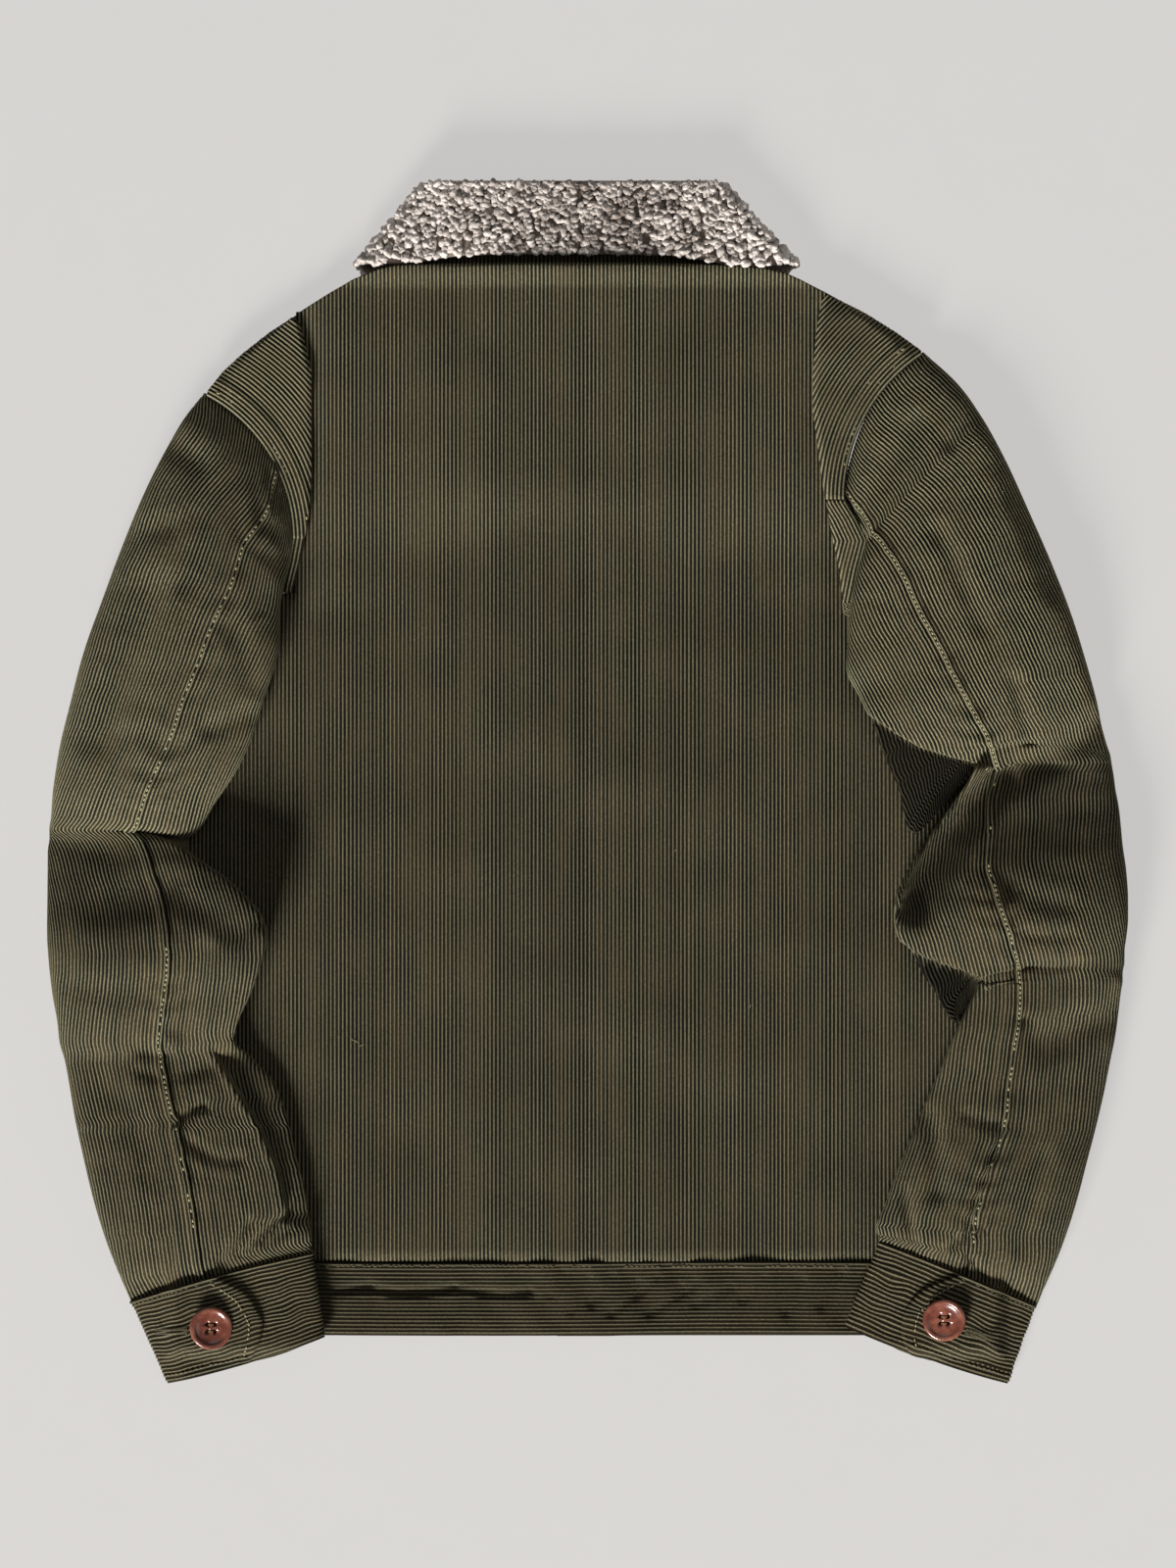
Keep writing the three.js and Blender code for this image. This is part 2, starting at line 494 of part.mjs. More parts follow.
// One piece of a sleeve: from the back seam round one edge to the hidden front seam
function sleevePiece(sections, outerSide, settleFrom) {
  const rows = sections.map((row, k) => {
    const settle = ease(settleFrom, settleFrom + 2, k);
    const seam = seamAngle(row);
    const hidden = Math.min(seam - 0.35, angleAt(bodyShare(row, 22)));
    const slit = seamGap / Math.hypot(row.inX - row.outX, row.inY - row.outY);
    const turn = outerSide ? -1 : 1;
    const edge = outerSide ? 0 : Math.PI;
    const fromSeam = seam + (turn * slit) / Math.sin(seam);
    const toSeam = hidden + (turn * slit) / Math.sin(hidden);
    const steps = outerSide ? sleeveTopSteps : sleeveTopSteps - 1;
    const over = Array.from({ length: steps }, (_, j) => lerp(fromSeam, edge, j / steps));
    const even = Array.from({ length: sleeveUnderSteps + 1 }, (_, j) => lerp(edge, toSeam, j / sleeveUnderSteps));
    const besideBody = angleAt(bodyShare(row, 16));
    const overBody = Math.min(angleAt(bodyShare(row, 3)), Math.PI - 0.5);
    const resting = [Math.PI, (Math.PI * 2 + overBody) / 3, overBody, besideBody, toSeam];
    const below = outerSide ? even : resting;
    return [
      ...over.map((angle) => sleevePair(row, angle, true, settle)),
      ...below.map((angle) => sleevePair(row, angle, false, settle)),
    ];
  });
  return clothSolid(rows);
}

function addSleeves() {
  addPiece('sleeve_left_top', sleevePiece(leftSections, true, 1), cordOlive);
  addPiece('sleeve_left_under', sleevePiece(leftSections, false, 1), cordOlive);
  addPiece('sleeve_right_top', sleevePiece(rightSections, true, 2), cordOlive);
  addPiece('sleeve_right_under', sleevePiece(rightSections, false, 2), cordOlive);
}

function cuffPlace(cuff, share, s, inset) {
  const row = {
    outX: lerp(cuff.outTop[0], cuff.outLow[0], share), outY: lerp(cuff.outTop[1], cuff.outLow[1], share),
    inX: lerp(cuff.inTop[0], cuff.inLow[0], share), inY: lerp(cuff.inTop[1], cuff.inLow[1], share),
    bowX: lerp(cuff.bowTop[0], cuff.bowLow[0], share), bowY: lerp(cuff.bowTop[1], cuff.bowLow[1], share),
  };
  return sectionPoint(row, s, inset);
}

const cuffSwell = (s) => Math.pow(1 - Math.pow(Math.abs(2 * s - 1), 3), 1 / 3);

// A cuff: a band from the tab's round end over the outer edge, below and back under the tab
function cuffBand(cuff) {
  const slices = cuff.tabReach.length - 1;
  const rows = cuff.tabReach.map((reach, k) => {
    const share = k / slices;
    const tabAngle = Math.acos(1 - 2 * reach);
    const underAngle = Math.acos(1 - 2 * cuff.underReach);
    const pair = (angle, kind) => {
      const s = (1 - Math.cos(angle)) / 2;
      const swell = cuffSwell(s);
      const faces = [0, wall].map((inset) => {
        const [x, y] = cuffPlace(cuff, share, s, inset);
        const base = restHeight(x, y);
        const loft = cuffRise + (kind === 'tab' ? layer : 0);
        const grown = kind === 'under' ? cuffRise : lerp(cuffRise, loft, ease(0.02, 0.14, s));
        const top = base + grown * (0.4 + 0.6 * swell) - inset * swell;
        const under = base + cuffRise * 0.4 * (1 - swell) + inset * swell;
        return [x, y, kind === 'below' ? under : top];
      });
      return { outer: faces[0], inner: faces[1] };
    };
    const tab = Array.from({ length: 7 }, (_, j) => pair(lerp(tabAngle, 0, j / 7), 'tab'));
    const lowRow = {
      outX: cuffPlace(cuff, share, 0, 0)[0], outY: cuffPlace(cuff, share, 0, 0)[1],
      inX: cuffPlace(cuff, share, 1, 0)[0], inY: cuffPlace(cuff, share, 1, 0)[1], bowX: 0, bowY: 0,
    };
    const besideBody = angleAt(bodyShare(lowRow, 16));
    const overBody = angleAt(bodyShare(lowRow, 3));
    const turns = [0, 0.4, 0.8, besideBody, overBody, lerp(overBody, Math.PI, 0.4), lerp(overBody, Math.PI, 0.75)];
    const below = turns.map((angle) => pair(angle, 'below'));
    const back = Array.from({ length: 8 }, (_, j) => pair(lerp(Math.PI, underAngle, j / 7), 'under'));
    return [...tab, ...below, ...back];
  });
  return clothSolid(rows);
}

// Round button with a rim, a dished middle and four holes
function buttonSolid(radius, thick, sides) {
  const rim = thick * 0.8;
  const outline = [
    [0, 0], [radius * 0.72, 0], [radius * 0.97, rim * 0.45], [radius, rim * 0.8], [radius * 0.93, thick],
    [radius * 0.76, thick * 0.97], [radius * 0.66, rim * 0.8], [0, rim * 0.72],
  ];
  const profile = outline.map(([r, h]) => new THREE.Vector2(r, h));
  const disc = new THREE.LatheGeometry(profile, sides);
  disc.rotateX(Math.PI / 2);
  const solidOf = (geometry) => {
    geometry.deleteAttribute('normal');
    geometry.deleteAttribute('uv');
    const merged = mergeVertices(geometry, 1e-4);
    const vertProperties = Float32Array.from(merged.attributes.position.array);
    const triVerts = Uint32Array.from(merged.index.array);
    return new wasm.Manifold(new wasm.Mesh({ numProp: 3, vertProperties, triVerts }));
  };
  let button = solidOf(disc);
  for (const [sx, sy] of [[1, 1], [1, -1], [-1, 1], [-1, -1]]) {
    const hole = new THREE.CylinderGeometry(holeRadius, holeRadius, thick * 3, 6);
    hole.rotateX(Math.PI / 2);
    hole.translate((sx * holeOffset) / Math.SQRT2, (sy * holeOffset) / Math.SQRT2, 0);
    button = button.subtract(solidOf(hole));
  }
  const mesh = button.getMesh();
  return outward(Array.from(mesh.vertProperties), Array.from(mesh.triVerts));
}

function addCuffs() {
  const sides = [['left', cuffLeft], ['right', cuffRight]];
  for (const [side, cuff] of sides) {
    addPiece(`cuff_${side}`, cuffBand(cuff), cordDark);
    const [x, y] = cuff.button;
    const highest = restHeight(x, y) + cuffRise + layer;
    const place = [x, y, highest + seamGap];
    addPiece(`cuff_button_${side}`, buttonSolid(cuffButtonRadius, cuffButtonThick, 20), buttonBrown, place);
  }
}

// Buttons of the front, face down on the floor under the overlap
function addFrontButtons() {
  for (let k = 0; k < frontButtonCount; k += 1) {
    const y = frontButtonTop - frontButtonPitch * k;
    const place = [centreX, y, frontButtonThick];
    const turn = [Math.PI, 0, 0];
    const button = buttonSolid(frontButtonRadius, frontButtonThick, 10);
    addPiece(`front_button_${k + 1}`, button, buttonBrown, place, turn);
  }
}

// Collar pieces: a strip from one column of points to another, wrapped over both shoulders
function collarStrip(fromX, fromY, toX, toY, steps, lowUnder, highUnder, thick, roll, stations) {
  const rows = stations.map((row) => {
    const turned = row.side;
    const around = Math.sin(Math.PI * turned);
    const facing = Math.cos(Math.PI * turned);
    const middle = (lowUnder + highUnder + thick) / 2;
    const reach = (highUnder + thick - lowUnder) / 2;
    const sign = Math.sign(row.rollX - centreX);
    return Array.from({ length: steps + 1 }, (_, j) => {
      const t = j / steps;
      const x = lerp(row[fromX], row[toX], t);
      const y = lerp(row[fromY], row[toY], t);
      const sink = roll * (1 - ease(0, 0.3, t)) * Math.sign(turned - 0.5);
      const outerZ = middle - reach * facing - sink;
      const innerZ = middle - (reach - thick) * facing - sink * 0.6;
      const shift = thick * around * sign;
      return { outer: [x + shift * 0.5, y, outerZ], inner: [x - shift * 0.5, y, innerZ] };
    });
  });
  return clothSolid(rows);
}

function addCollar() {
  const standLow = fleece + seamGap;
  const leafHigh = standLow + 2 * layer + seamGap;
  const leaf = collarStrip('rollX', 'rollY', 'edgeX', 'edgeY', 5, 0, leafHigh, fleece, 0, collarStations);
  addPiece('collar_leaf', leaf, fleeceGrey);
  const back = collarStations.filter((row) => row.side === 1);
  const stand = collarStrip('rollX', 'rollY', 'seamX', 'seamY', 3, standLow, standLow + layer, wall, 0, back);
  addPiece('collar_stand', stand, cordDark);
}

addBack();
addFronts();
addSleeves();
addCuffs();
addFrontButtons();
addCollar();

export default jacket;
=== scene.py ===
# %% [markdown]
# # A corduroy jacket, laid flat with its back up
# The jacket is olive cotton corduroy with a fleece-faced collar. It lies on its front, and its
# sleeves are brought down beside the body. Every piece is cut as a maker would cut it: a back,
# two fronts, two-piece sleeves, cuffs with a tab, a hem band, a collar leaf and its stand.
#
# The frame holds the solids at their real size. They fix where everything is. This script makes
# the cloth itself, with its ribs, folds, seams and pile, around that frame.

# %% Load the frame
import math
from collections import namedtuple

import bpy
import numpy as np
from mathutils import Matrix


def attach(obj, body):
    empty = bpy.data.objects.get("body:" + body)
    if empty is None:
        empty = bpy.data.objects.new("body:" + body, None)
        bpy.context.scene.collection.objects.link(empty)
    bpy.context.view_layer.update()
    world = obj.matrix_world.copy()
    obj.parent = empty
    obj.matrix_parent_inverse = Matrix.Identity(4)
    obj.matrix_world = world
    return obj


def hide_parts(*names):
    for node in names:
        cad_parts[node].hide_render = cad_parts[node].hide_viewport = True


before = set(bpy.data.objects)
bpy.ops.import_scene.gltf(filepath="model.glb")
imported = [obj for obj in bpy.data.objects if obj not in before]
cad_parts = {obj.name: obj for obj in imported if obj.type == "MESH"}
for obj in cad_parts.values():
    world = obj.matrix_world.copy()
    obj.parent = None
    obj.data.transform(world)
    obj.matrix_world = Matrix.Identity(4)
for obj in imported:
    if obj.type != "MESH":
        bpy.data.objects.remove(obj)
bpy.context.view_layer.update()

# %% [markdown]
# ## Sizes
# A cutter's sheet is in millimetres, so the tables below are too, and one factor turns them into
# Blender's metres. The corduroy has 11 ribs, or wales, to the inch. Each wale is drawn by three
# columns of points, one in the valley and two on the crest, which is the least that gives a
# round rib and keeps the cloth light. Nothing reaches below FLOOR_GAP.

# %% Sizes of the cloth and the body
MM = 0.001
WALE = 2.35
PER_WALE = 3
COLUMN = WALE / PER_WALE
RIB = 0.7
CLOTH = 1.5
WALL = 3.0
SEAM = 0.3
FLEECE = 6.0
CENTRE_X = -5.0
NECK_TOP, HEM_SEAM, HEM_EDGE = 305.0, -283.0, -327.0
FRONT_NECK_Y, NECK_HALF, OVERLAP_HALF = 236.0, 112.0, 13.0
LAYER = WALL + SEAM
PANEL_GAP, ARMHOLE_GAP, REST_GAP = 0.9, 1.0, 1.2
BODY_LOFT, SHOULDER_LOFT, CREASE_STEP = 3.4, 9.0, 3.5
CUFF_RISE = 14.0
TAB_LIFT = 2.5
FRONT_BUTTON_LIFT = 2.7
FLOOR_GAP = 0.1
print("a column each", round(COLUMN, 3), "mm")

# %% [markdown]
# ## Section tables
# A sleeve is drawn as a row of sections, as a pattern cutter would tape it: where its outer and
# inner edges lie, how far the middle of the section bows, where the back seam crosses, and how
# high the arm stands there. The inner edge doubles back at the elbow, and that gives the fold.

# %% Sleeve sections, body outline and collar stations
Section = namedtuple("Section", "out_x out_y in_x in_y bow_x bow_y seam_x high")
LEFT_SECTIONS = [Section(*row) for row in (
    (-226, 230, -173, 145, 10, 10, -183, 18), (-238, 214, -176, 131, 6, 6, -188, 24),
    (-257, 179, -180, 115, 3, 3, -201, 31), (-272, 144, -182, 99, 0, 2, -208, 35),
    (-285, 109, -182, 83, 0, 0, -218, 37), (-297, 75, -185, 68, 0, 0, -226, 38),
    (-305, 44, -192, 47, 0, 0, -236, 38), (-310, 24, -199, 25, 0, 0, -243, 37),
    (-313, 7, -207, 8, 0, 0, -251, 36), (-315, -8, -219, -10, 0, 0, -258, 34),
    (-316, -21, -236, -32, 0, 2, -264, 30), (-317, -27, -260, -29, 0, 0, -268, 25),
    (-317, -33, -244, -36, 0, 0, -261, 31), (-318, -41, -229, -46, 0, 0, -257, 35),
    (-318, -51, -214, -56, 0, 0, -254, 37), (-318, -63, -202, -67, 0, 0, -250, 38),
    (-318, -76, -192, -79, 0, 0, -247, 38), (-318, -88, -189, -91, 0, 0, -245, 37),
    (-317, -105, -193, -107, 0, 0, -244, 35), (-315, -124, -199, -124, 0, 0, -246, 33),
    (-312, -142, -207, -142, 0, 0, -249, 31), (-311, -153, -209, -152, 0, 0, -250, 29),
    (-308, -164, -198, -163, 0, 0, -249, 29), (-305, -180, -185, -178, 0, 0, -246, 29),
    (-302, -198, -178, -197, 0, 0, -242, 28), (-297, -221, -173, -218, 0, 0, -237, 27),
    (-291, -246, -167, -242, 0, 0, -232, 26), (-284, -269, -164, -262, 0, 0, -229, 26),
    (-270, -305, -163, -276, 0, 2, -226, 24))]
RIGHT_SECTIONS = [Section(*row) for row in (
    (198, 254, 151, 166, -8, 10, 152, 18), (219, 234, 159, 155, -3, 6, 160, 24),
    (233, 214, 165, 143, 0, 3, 167, 30), (247, 188, 160, 126, 0, 0, 174, 34),
    (261, 157, 156, 106, 0, 0, 184, 37), (274, 127, 154, 86, 0, 0, 193, 38),
    (285, 98, 153, 68, 0, 0, 204, 39), (294, 69, 161, 50, 0, 0, 215, 39),
    (300, 47, 170, 31, 0, 0, 226, 37), (303, 33, 176, 15, 0, 2, 233, 35),
    (306, 22, 184, -3, -6, 13, 235, 32), (308, 16, 193, -30, -17, 24, 236, 27),
    (309, 10, 231, 12, 0, 0, 241, 27), (310, 4, 224, -1, 0, 0, 238, 31),
    (311, -4, 215, -14, 0, 0, 236, 35), (313, -15, 204, -29, 0, 0, 235, 37),
    (314, -25, 195, -42, 0, 0, 234, 38), (315, -37, 187, -56, 0, 0, 233, 39),
    (317, -52, 182, -68, 0, 0, 236, 39), (318, -68, 181, -80, 0, 0, 240, 39),
    (318, -80, 183, -90, 0, 0, 244, 38), (317, -91, 189, -99, 0, 0, 247, 36),
    (316, -99, 197, -111, 0, 1, 250, 34), (316, -106, 206, -124, -5, 8, 251, 33),
    (315, -112, 218, -142, -29, 15, 251, 31), (315, -117, 232, -117, 0, 0, 252, 31),
    (314, -124, 227, -128, 0, 0, 252, 31), (313, -134, 220, -142, 0, 0, 251, 31),
    (311, -149, 214, -156, 0, 0, 249, 31), (308, -164, 207, -173, 0, 0, 247, 30),
    (304, -184, 201, -186, 0, 0, 245, 29), (299, -205, 193, -205, 0, 0, 243, 28),
    (294, -224, 185, -224, 0, 0, 237, 27), (288, -247, 177, -246, 0, 0, 230, 26),
    (280, -272, 171, -262, 0, 0, 225, 26), (265, -308, 173, -270, 0, 1, 224, 24))]

# Outline of the body, each pair a height and the x of the edge there, from the top down
SHOULDER_LEFT = ((305, -113), (303, -123), (300, -130), (297, -138), (289, -152), (278, -170),
                 (266, -188), (254, -203), (243, -215), (231, -224.5))
SHOULDER_RIGHT = ((305, 84), (303, 106), (300, 118), (297, 125), (289, 141), (278, 163),
                  (266, 182), (255, 197))
SIDE_LEFT = ((145, -171.5), (131, -174.5), (115, -178.5), (99, -180.5), (92, -204), (80, -223),
             (57, -235), (22, -239), (-30, -240), (-330, -238))
SIDE_RIGHT = ((166, 149.5), (155, 157), (143, 163), (126, 158.5), (106, 154.5), (98, 175),
              (89, 201), (80, 218), (57, 232), (22, 237), (-30, 238), (-330, 234))
CREASE_LEFT = ((279, -172), (260, -167), (243, -163), (185, -163), (162, -164), (138, -168),
               (112, -175), (-330, -200))
CREASE_RIGHT = ((283, 138), (266, 135), (243, 133), (220, 133), (196, 136), (162, 141),
                (127, 148), (86, 152), (-330, 196))

Station = namedtuple("Station", "roll_x roll_y edge_x edge_y seam_x seam_y side")
COLLAR = [Station(*row) for row in (
    (-7, 238, -55, 191, -9, 231, 0), (-30, 262, -78, 214, -38, 244, 0),
    (-56, 296, -103, 246, -72, 263, 0), (-80, 332, -122, 276, -99, 286, 0),
    (-93, 351, -134, 303, -116, 299, 0.2), (-97, 353, -137, 305, -119, 302, 0.5),
    (-94, 354, -132, 306, -116, 305.3, 0.8), (-84, 355, -114, 306, -100, 305.3, 1),
    (-56, 355, -70, 311, -66, 305.3, 1), (-8, 355, -8, 312, -8, 305.3, 1),
    (36, 355, 48, 311, 46, 305.3, 1), (64, 355, 98, 304, 78, 305.3, 1),
    (76, 354, 119, 306, 98, 305.3, 0.8), (80, 353, 124, 305, 102, 302, 0.5),
    (76, 351, 121, 303, 99, 299, 0.2), (62, 332, 108, 276, 83, 286, 0),
    (40, 296, 90, 246, 58, 263, 0), (16, 262, 66, 214, 26, 244, 0),
    (-3, 238, 45, 191, -1, 231, 0))]
print(len(LEFT_SECTIONS), "left and", len(RIGHT_SECTIONS), "right sleeve sections")

# %% [markdown]
# ## Folds placed one by one
# Cloth simulation would lose the exact folds of the photo, so each main crease is placed as a
# soft trough, or a ridge where its depth is below zero, along a bent line. Each has its own
# length, width and depth, because real creases are never alike.

# %% Fold tables
Fold = namedtuple("Fold", "from_x from_y mid_x mid_y to_x to_y wide deep first last",
                  defaults=(-1, 99))
LEFT_FOLDS = [Fold(*row) for row in (
    (-300, -32, -282, -30, -264, -29, 24, 3), (-286, -74, -262, -70, -242, -62, 18, 2, 12),
    (-244, -64, -224, -78, -204, -88, 14, 2.5, 12), (-194, -90, -203, -117, -221, -148, 8, -3, 13),
    (-226, -100, -232, -118, -240, -146, 13, 4.5),
    (-240, -201, -236, -192, -226, -191, 5, 4.5), (-262, -158, -256, -156, -250, -158, 8, 4.0),
    (-246, 199, -238, 192, -229, 187, 13, 3), (-258, 112, -268, 70, -286, 26, 20, 3.5),
    (-240, 106, -252, 72, -268, 36, 10, -1.5), (-222, 33, -212, 34, -200, 40, 11, 3),
    (-208, 92, -200, 70, -196, 56, 12, 1.6),
    (-222, -168, -240, -172, -262, -170, 9, 2.0),
    (-204, -278, -192, -265, -178, -254, 4.5, 4.5), (-218, -282, -206, -270, -200, -258, 4, 3.5),
    (-190, -272, -184, -266, -176, -264, 4, 2.5), (-246, -290, -243, -280, -244, -268, 4, 1.5),
    (-280, -180, -264, -200, -258, -226, 16, 2.5), (-232, -214, -220, -224, -206, -222, 8, 2.5),
    (-246, 150, -262, 148, -280, 138, 12, 2.5), (-300, -120, -282, -126, -262, -122, 14, 2.0))]
RIGHT_FOLDS = [Fold(*row) for row in (
    (300, 34, 272, 10, 240, 0, 15, 5),
    (232, 11, 194, -18, 180, -70, 9, -7, 12, 22), (245, 4, 210, -28, 193, -72, 18, 12, 12, 21),
    (192, 211, 176, 186, 163, 159, 12, 4), (252, 58, 256, 40, 262, 18, 9, 3.5, -1, 11),
    (268, -152, 288, -148, 310, -134, 18, 5),
    (187, -242, 189, -258, 193, -272, 6, 3), (222, -196, 232, -200, 243, -201, 6, 2.2),
    (243, -209, 234, -232, 223, -262, 5, 3), (224, -279, 234, -290, 243, -298, 5, 4),
    (210, -276, 220, -266, 232, -262, 4, 3), (254, -88, 266, -92, 284, -90, 6, 2.5),
    (254, -106, 270, -110, 286, -106, 6, 2), (256, -140, 268, -144, 280, -142, 6, 2.5),
    (252, 172, 262, 140, 274, 112, 12, 3), (206, 148, 222, 120, 232, 92, 11, 2.5),
    (246, -62, 258, -70, 280, -72, 12, 2.5), (200, -196, 208, -214, 206, -240, 10, 3),
    (268, -222, 262, -246, 256, -272, 12, 2.5), (236, 232, 226, 214, 214, 200, 10, 2.5))]

# How much higher or lower an arm stands at a station, as a whole and on its inner half
Lift = namedtuple("Lift", "station whole inner")
LEFT_LIFT = [Lift(*row) for row in (
    (0, -3.5, 0), (1, 0, 0), (7, 1, 0), (9.5, 1, 0), (11, 3, 0), (12, -4, 4), (13, -8, 7),
    (14, -7, 8), (15, -4.5, 8), (16, 0, 7), (17, 5, 5), (18, 8, 4), (19, 7, 1), (20, 5, 0),
    (21, 2, 0), (22, -4, 0), (24, -1, 0), (26, 4, 0), (27, 3, 0), (28, 0, 0))]
RIGHT_LIFT = [Lift(*row) for row in (
    (0, -3.5, 0), (1, 0, 0), (8, 1, 1), (9.3, 0, 0), (11.7, -4, 0),
    (12, -7, 4), (13, -9, 5), (14, -10, 5), (15, -9, 5), (16, -6, 4), (17, -2, 3), (18, 3, 2),
    (19, 7, 1), (20, 8, 0), (21, 7, 0), (22, 4, 0), (23, 0, 2), (24, -3, 4), (25, -4, 4),
    (27, -5, 5), (29, -3, 2), (31, 2, 0), (33, 6, 0), (34, 5, 0), (35, 0, 0))]

# The rim of the arm at its inner edge: how square it is, and how high the edge itself stands
Rim = namedtuple("Rim", "station square waist")
LEFT_RIM = [Rim(*row) for row in (
    (0, 2.5, 0.42), (10.6, 2.5, 0.42), (11.4, 4, 0.6), (12.2, 9, 0.88), (18.5, 9, 0.88),
    (20.5, 5, 0.6), (22, 2.5, 0.42), (28, 2.5, 0.42))]
RIGHT_RIM = [Rim(*row) for row in (
    (0, 2.5, 0.42), (6.5, 2.5, 0.42), (8.2, 6, 0.8), (11.7, 7, 0.86), (12.1, 9, 0.9),
    (20, 9, 0.9), (22, 7, 0.86), (24.7, 7, 0.86), (25.2, 6, 0.8), (27.5, 6, 0.7), (30, 3, 0.5),
    (35, 2.5, 0.42))]

# Where the right arm's cloth drops over a lip and runs on low, under the fold below it
Drop = namedtuple("Drop", "line deep rise last")
RIGHT_DROPS = [
    Drop(((150, 48), (166.6, 39.5), (182, 29), (196, 21), (214, 15.5), (232, 11)), 27, 54, 11.85),
    Drop(((181, -90), (193.8, -100.5), (210, -107), (233, -114)), 22, 38, 24.85)]

# The outer half of the right elbow sags in a wide valley; its height by station
RIGHT_OUTER = ((6, 39), (7, 37.5), (8, 33.5), (9, 29), (10, 26.5), (11, 26), (12, 26), (13, 26.5),
               (14, 28), (15, 30), (16, 33), (17, 37), (18, 41), (19, 44), (20, 45), (22, 42),
               (23, 39), (24, 37), (25, 36.4), (26, 35), (28, 31), (31, 30))

# The lip of the fold along the left forearm, each pair a height and the x of the lip there
FOREARM_EDGE = ((-156, -223), (-173.5, -211.8), (-203, -193.7), (-230, -182.4), (-250, -178.5),
                (-275, -176))
print(len(LEFT_FOLDS), "left and", len(RIGHT_FOLDS), "right sleeve folds")

# %% [markdown]
# ## Small mathematical helpers
# glide draws a smooth curve through a column of a table and never overshoots it, so a fold's
# tip stays where the table puts it. ease is the soft step that shapes every trough and seam.

# %% Curves and soft steps
def ease(start, end, x):
    t = np.clip((np.asarray(x, float) - start) / (end - start), 0, 1)
    return t * t * (3 - 2 * t)


def glide(knots, values, at):
    k, v = np.asarray(knots, float), np.asarray(values, float)
    step = np.diff(k)
    slope = np.diff(v) / step
    both = slope[:-1] + slope[1:]
    product = slope[:-1] * slope[1:]
    inner = np.where(product > 0, 2 * product / np.where(np.abs(both) < 1e-9, 1, both), 0)
    lean = np.concatenate([[slope[0]], inner, [slope[-1]]])
    at = np.clip(at, k[0], k[-1])
    i = np.clip(np.searchsorted(k, at, side="right") - 1, 0, len(k) - 2)
    t = (at - k[i]) / step[i]
    rise = t * t * (3 - 2 * t)
    pull = t * (1 - t) ** 2 * lean[i] + t * t * (t - 1) * lean[i + 1]
    return (1 - rise) * v[i] + rise * v[i + 1] + step[i] * pull


def edge_at(table, y):
    heights = [row[0] for row in table][::-1]
    places = [row[1] for row in table][::-1]
    return np.interp(y, heights, places)


def fold_depth(x, y, folds, station=None):
    """How far the folds lower a surface at each place, ridges counted below zero."""
    trough, ridge = np.zeros(np.broadcast(x, y).shape), np.zeros(np.broadcast(x, y).shape)
    t = np.linspace(0, 1, 25)
    for fold in folds:
        share = 1.0
        if station is not None:
            share = ease(fold.first - 0.3, fold.first, station) \
                * (1 - ease(fold.last, fold.last + 0.3, station))
            share = np.broadcast_to(share[:, None], trough.shape)
        px = (1 - t) ** 2 * fold.from_x + 2 * t * (1 - t) * fold.mid_x + t * t * fold.to_x
        py = (1 - t) ** 2 * fold.from_y + 2 * t * (1 - t) * fold.mid_y + t * t * fold.to_y
        near = (np.abs(x - px.mean()) < np.ptp(px) / 2 + fold.wide) \
            & (np.abs(y - py.mean()) < np.ptp(py) / 2 + fold.wide)
        if not near.any():
            continue
        away = np.hypot(x[near][:, None] - px, y[near][:, None] - py).min(axis=1)
        bite = fold.deep * (1 - ease(0, fold.wide, away))
        if station is not None:
            bite = bite * share[near]
        trough[near] = np.maximum(trough[near], bite)
        ridge[near] = np.minimum(ridge[near], bite)
    return trough + ridge


def ripple(x, y, size, long, seed):
    """Slow unevenness of cloth that has been folded and smoothed by hand."""
    draw = np.random.default_rng(seed)
    total = 0
    for _ in range(5):
        turn, phase = draw.uniform(0, math.pi), draw.uniform(0, 6.28)
        length = long * draw.uniform(0.6, 1.5)
        total = total + np.sin((x * math.cos(turn) + y * math.sin(turn)) / length * 6.28 + phase)
    return total * size / 5


def forearm_layer(x, y):
    """The left forearm is folded once along its inner edge: a rolled lip, then a lower layer."""
    lip_x = np.interp(-y, [-row[0] for row in FOREARM_EDGE], [row[1] for row in FOREARM_EDGE])
    past = x - lip_x
    fade = ease(-154, -166, y) * (1 - ease(-252, -268, y))
    lip = 1.8 * np.exp(-((past + 2.0) / 3.0) ** 2)
    return fade * (5.5 * ease(-0.5, 1.6, past) - lip)


def over_lips(x, y, station, drops):
    """How deep the cloth lies below its lips, and how far it tucks back under them."""
    deep, tuck = np.zeros(x.shape), np.zeros(x.shape)
    for drop in drops:
        end = drop.line[-1][0]
        lip_y = np.interp(x, [point[0] for point in drop.line], [point[1] for point in drop.line])
        past = lip_y - y
        near = (station[:, None] < drop.last) & (y > drop.line[-1][1] - 60) & (past < 75)
        share = near * (1 - ease(end - 10, end + 3, x))
        deep = deep + share * drop.deep * (ease(0, 3, past) - 0.25 * ease(3, drop.rise, past))
        tuck = tuck + share * 5 * ease(0, 2.5, past) * (1 - ease(3, 12, past))
    return deep, tuck


# %% [markdown]
# ## Where each layer lies
# The jacket is a pile of cloth: fronts on the floor, the back on them, sleeves on the sides of
# the back. These functions give the height of each layer at any place, so that every piece
# rests on the one below with a thin gap and none cuts into another.

# %% Layer heights
def section_point(st, s, inset=0.0):
    out_x, out_y, in_x, in_y, bow_x, bow_y = (st[..., k, None] for k in range(6))
    dx, dy = in_x - out_x, in_y - out_y
    reach = inset / np.hypot(dx, dy)
    t = reach + (1 - 2 * reach) * s
    bow = 4 * t * (1 - t)
    return out_x + dx * t + bow_x * bow, out_y + dy * t + bow_y * bow


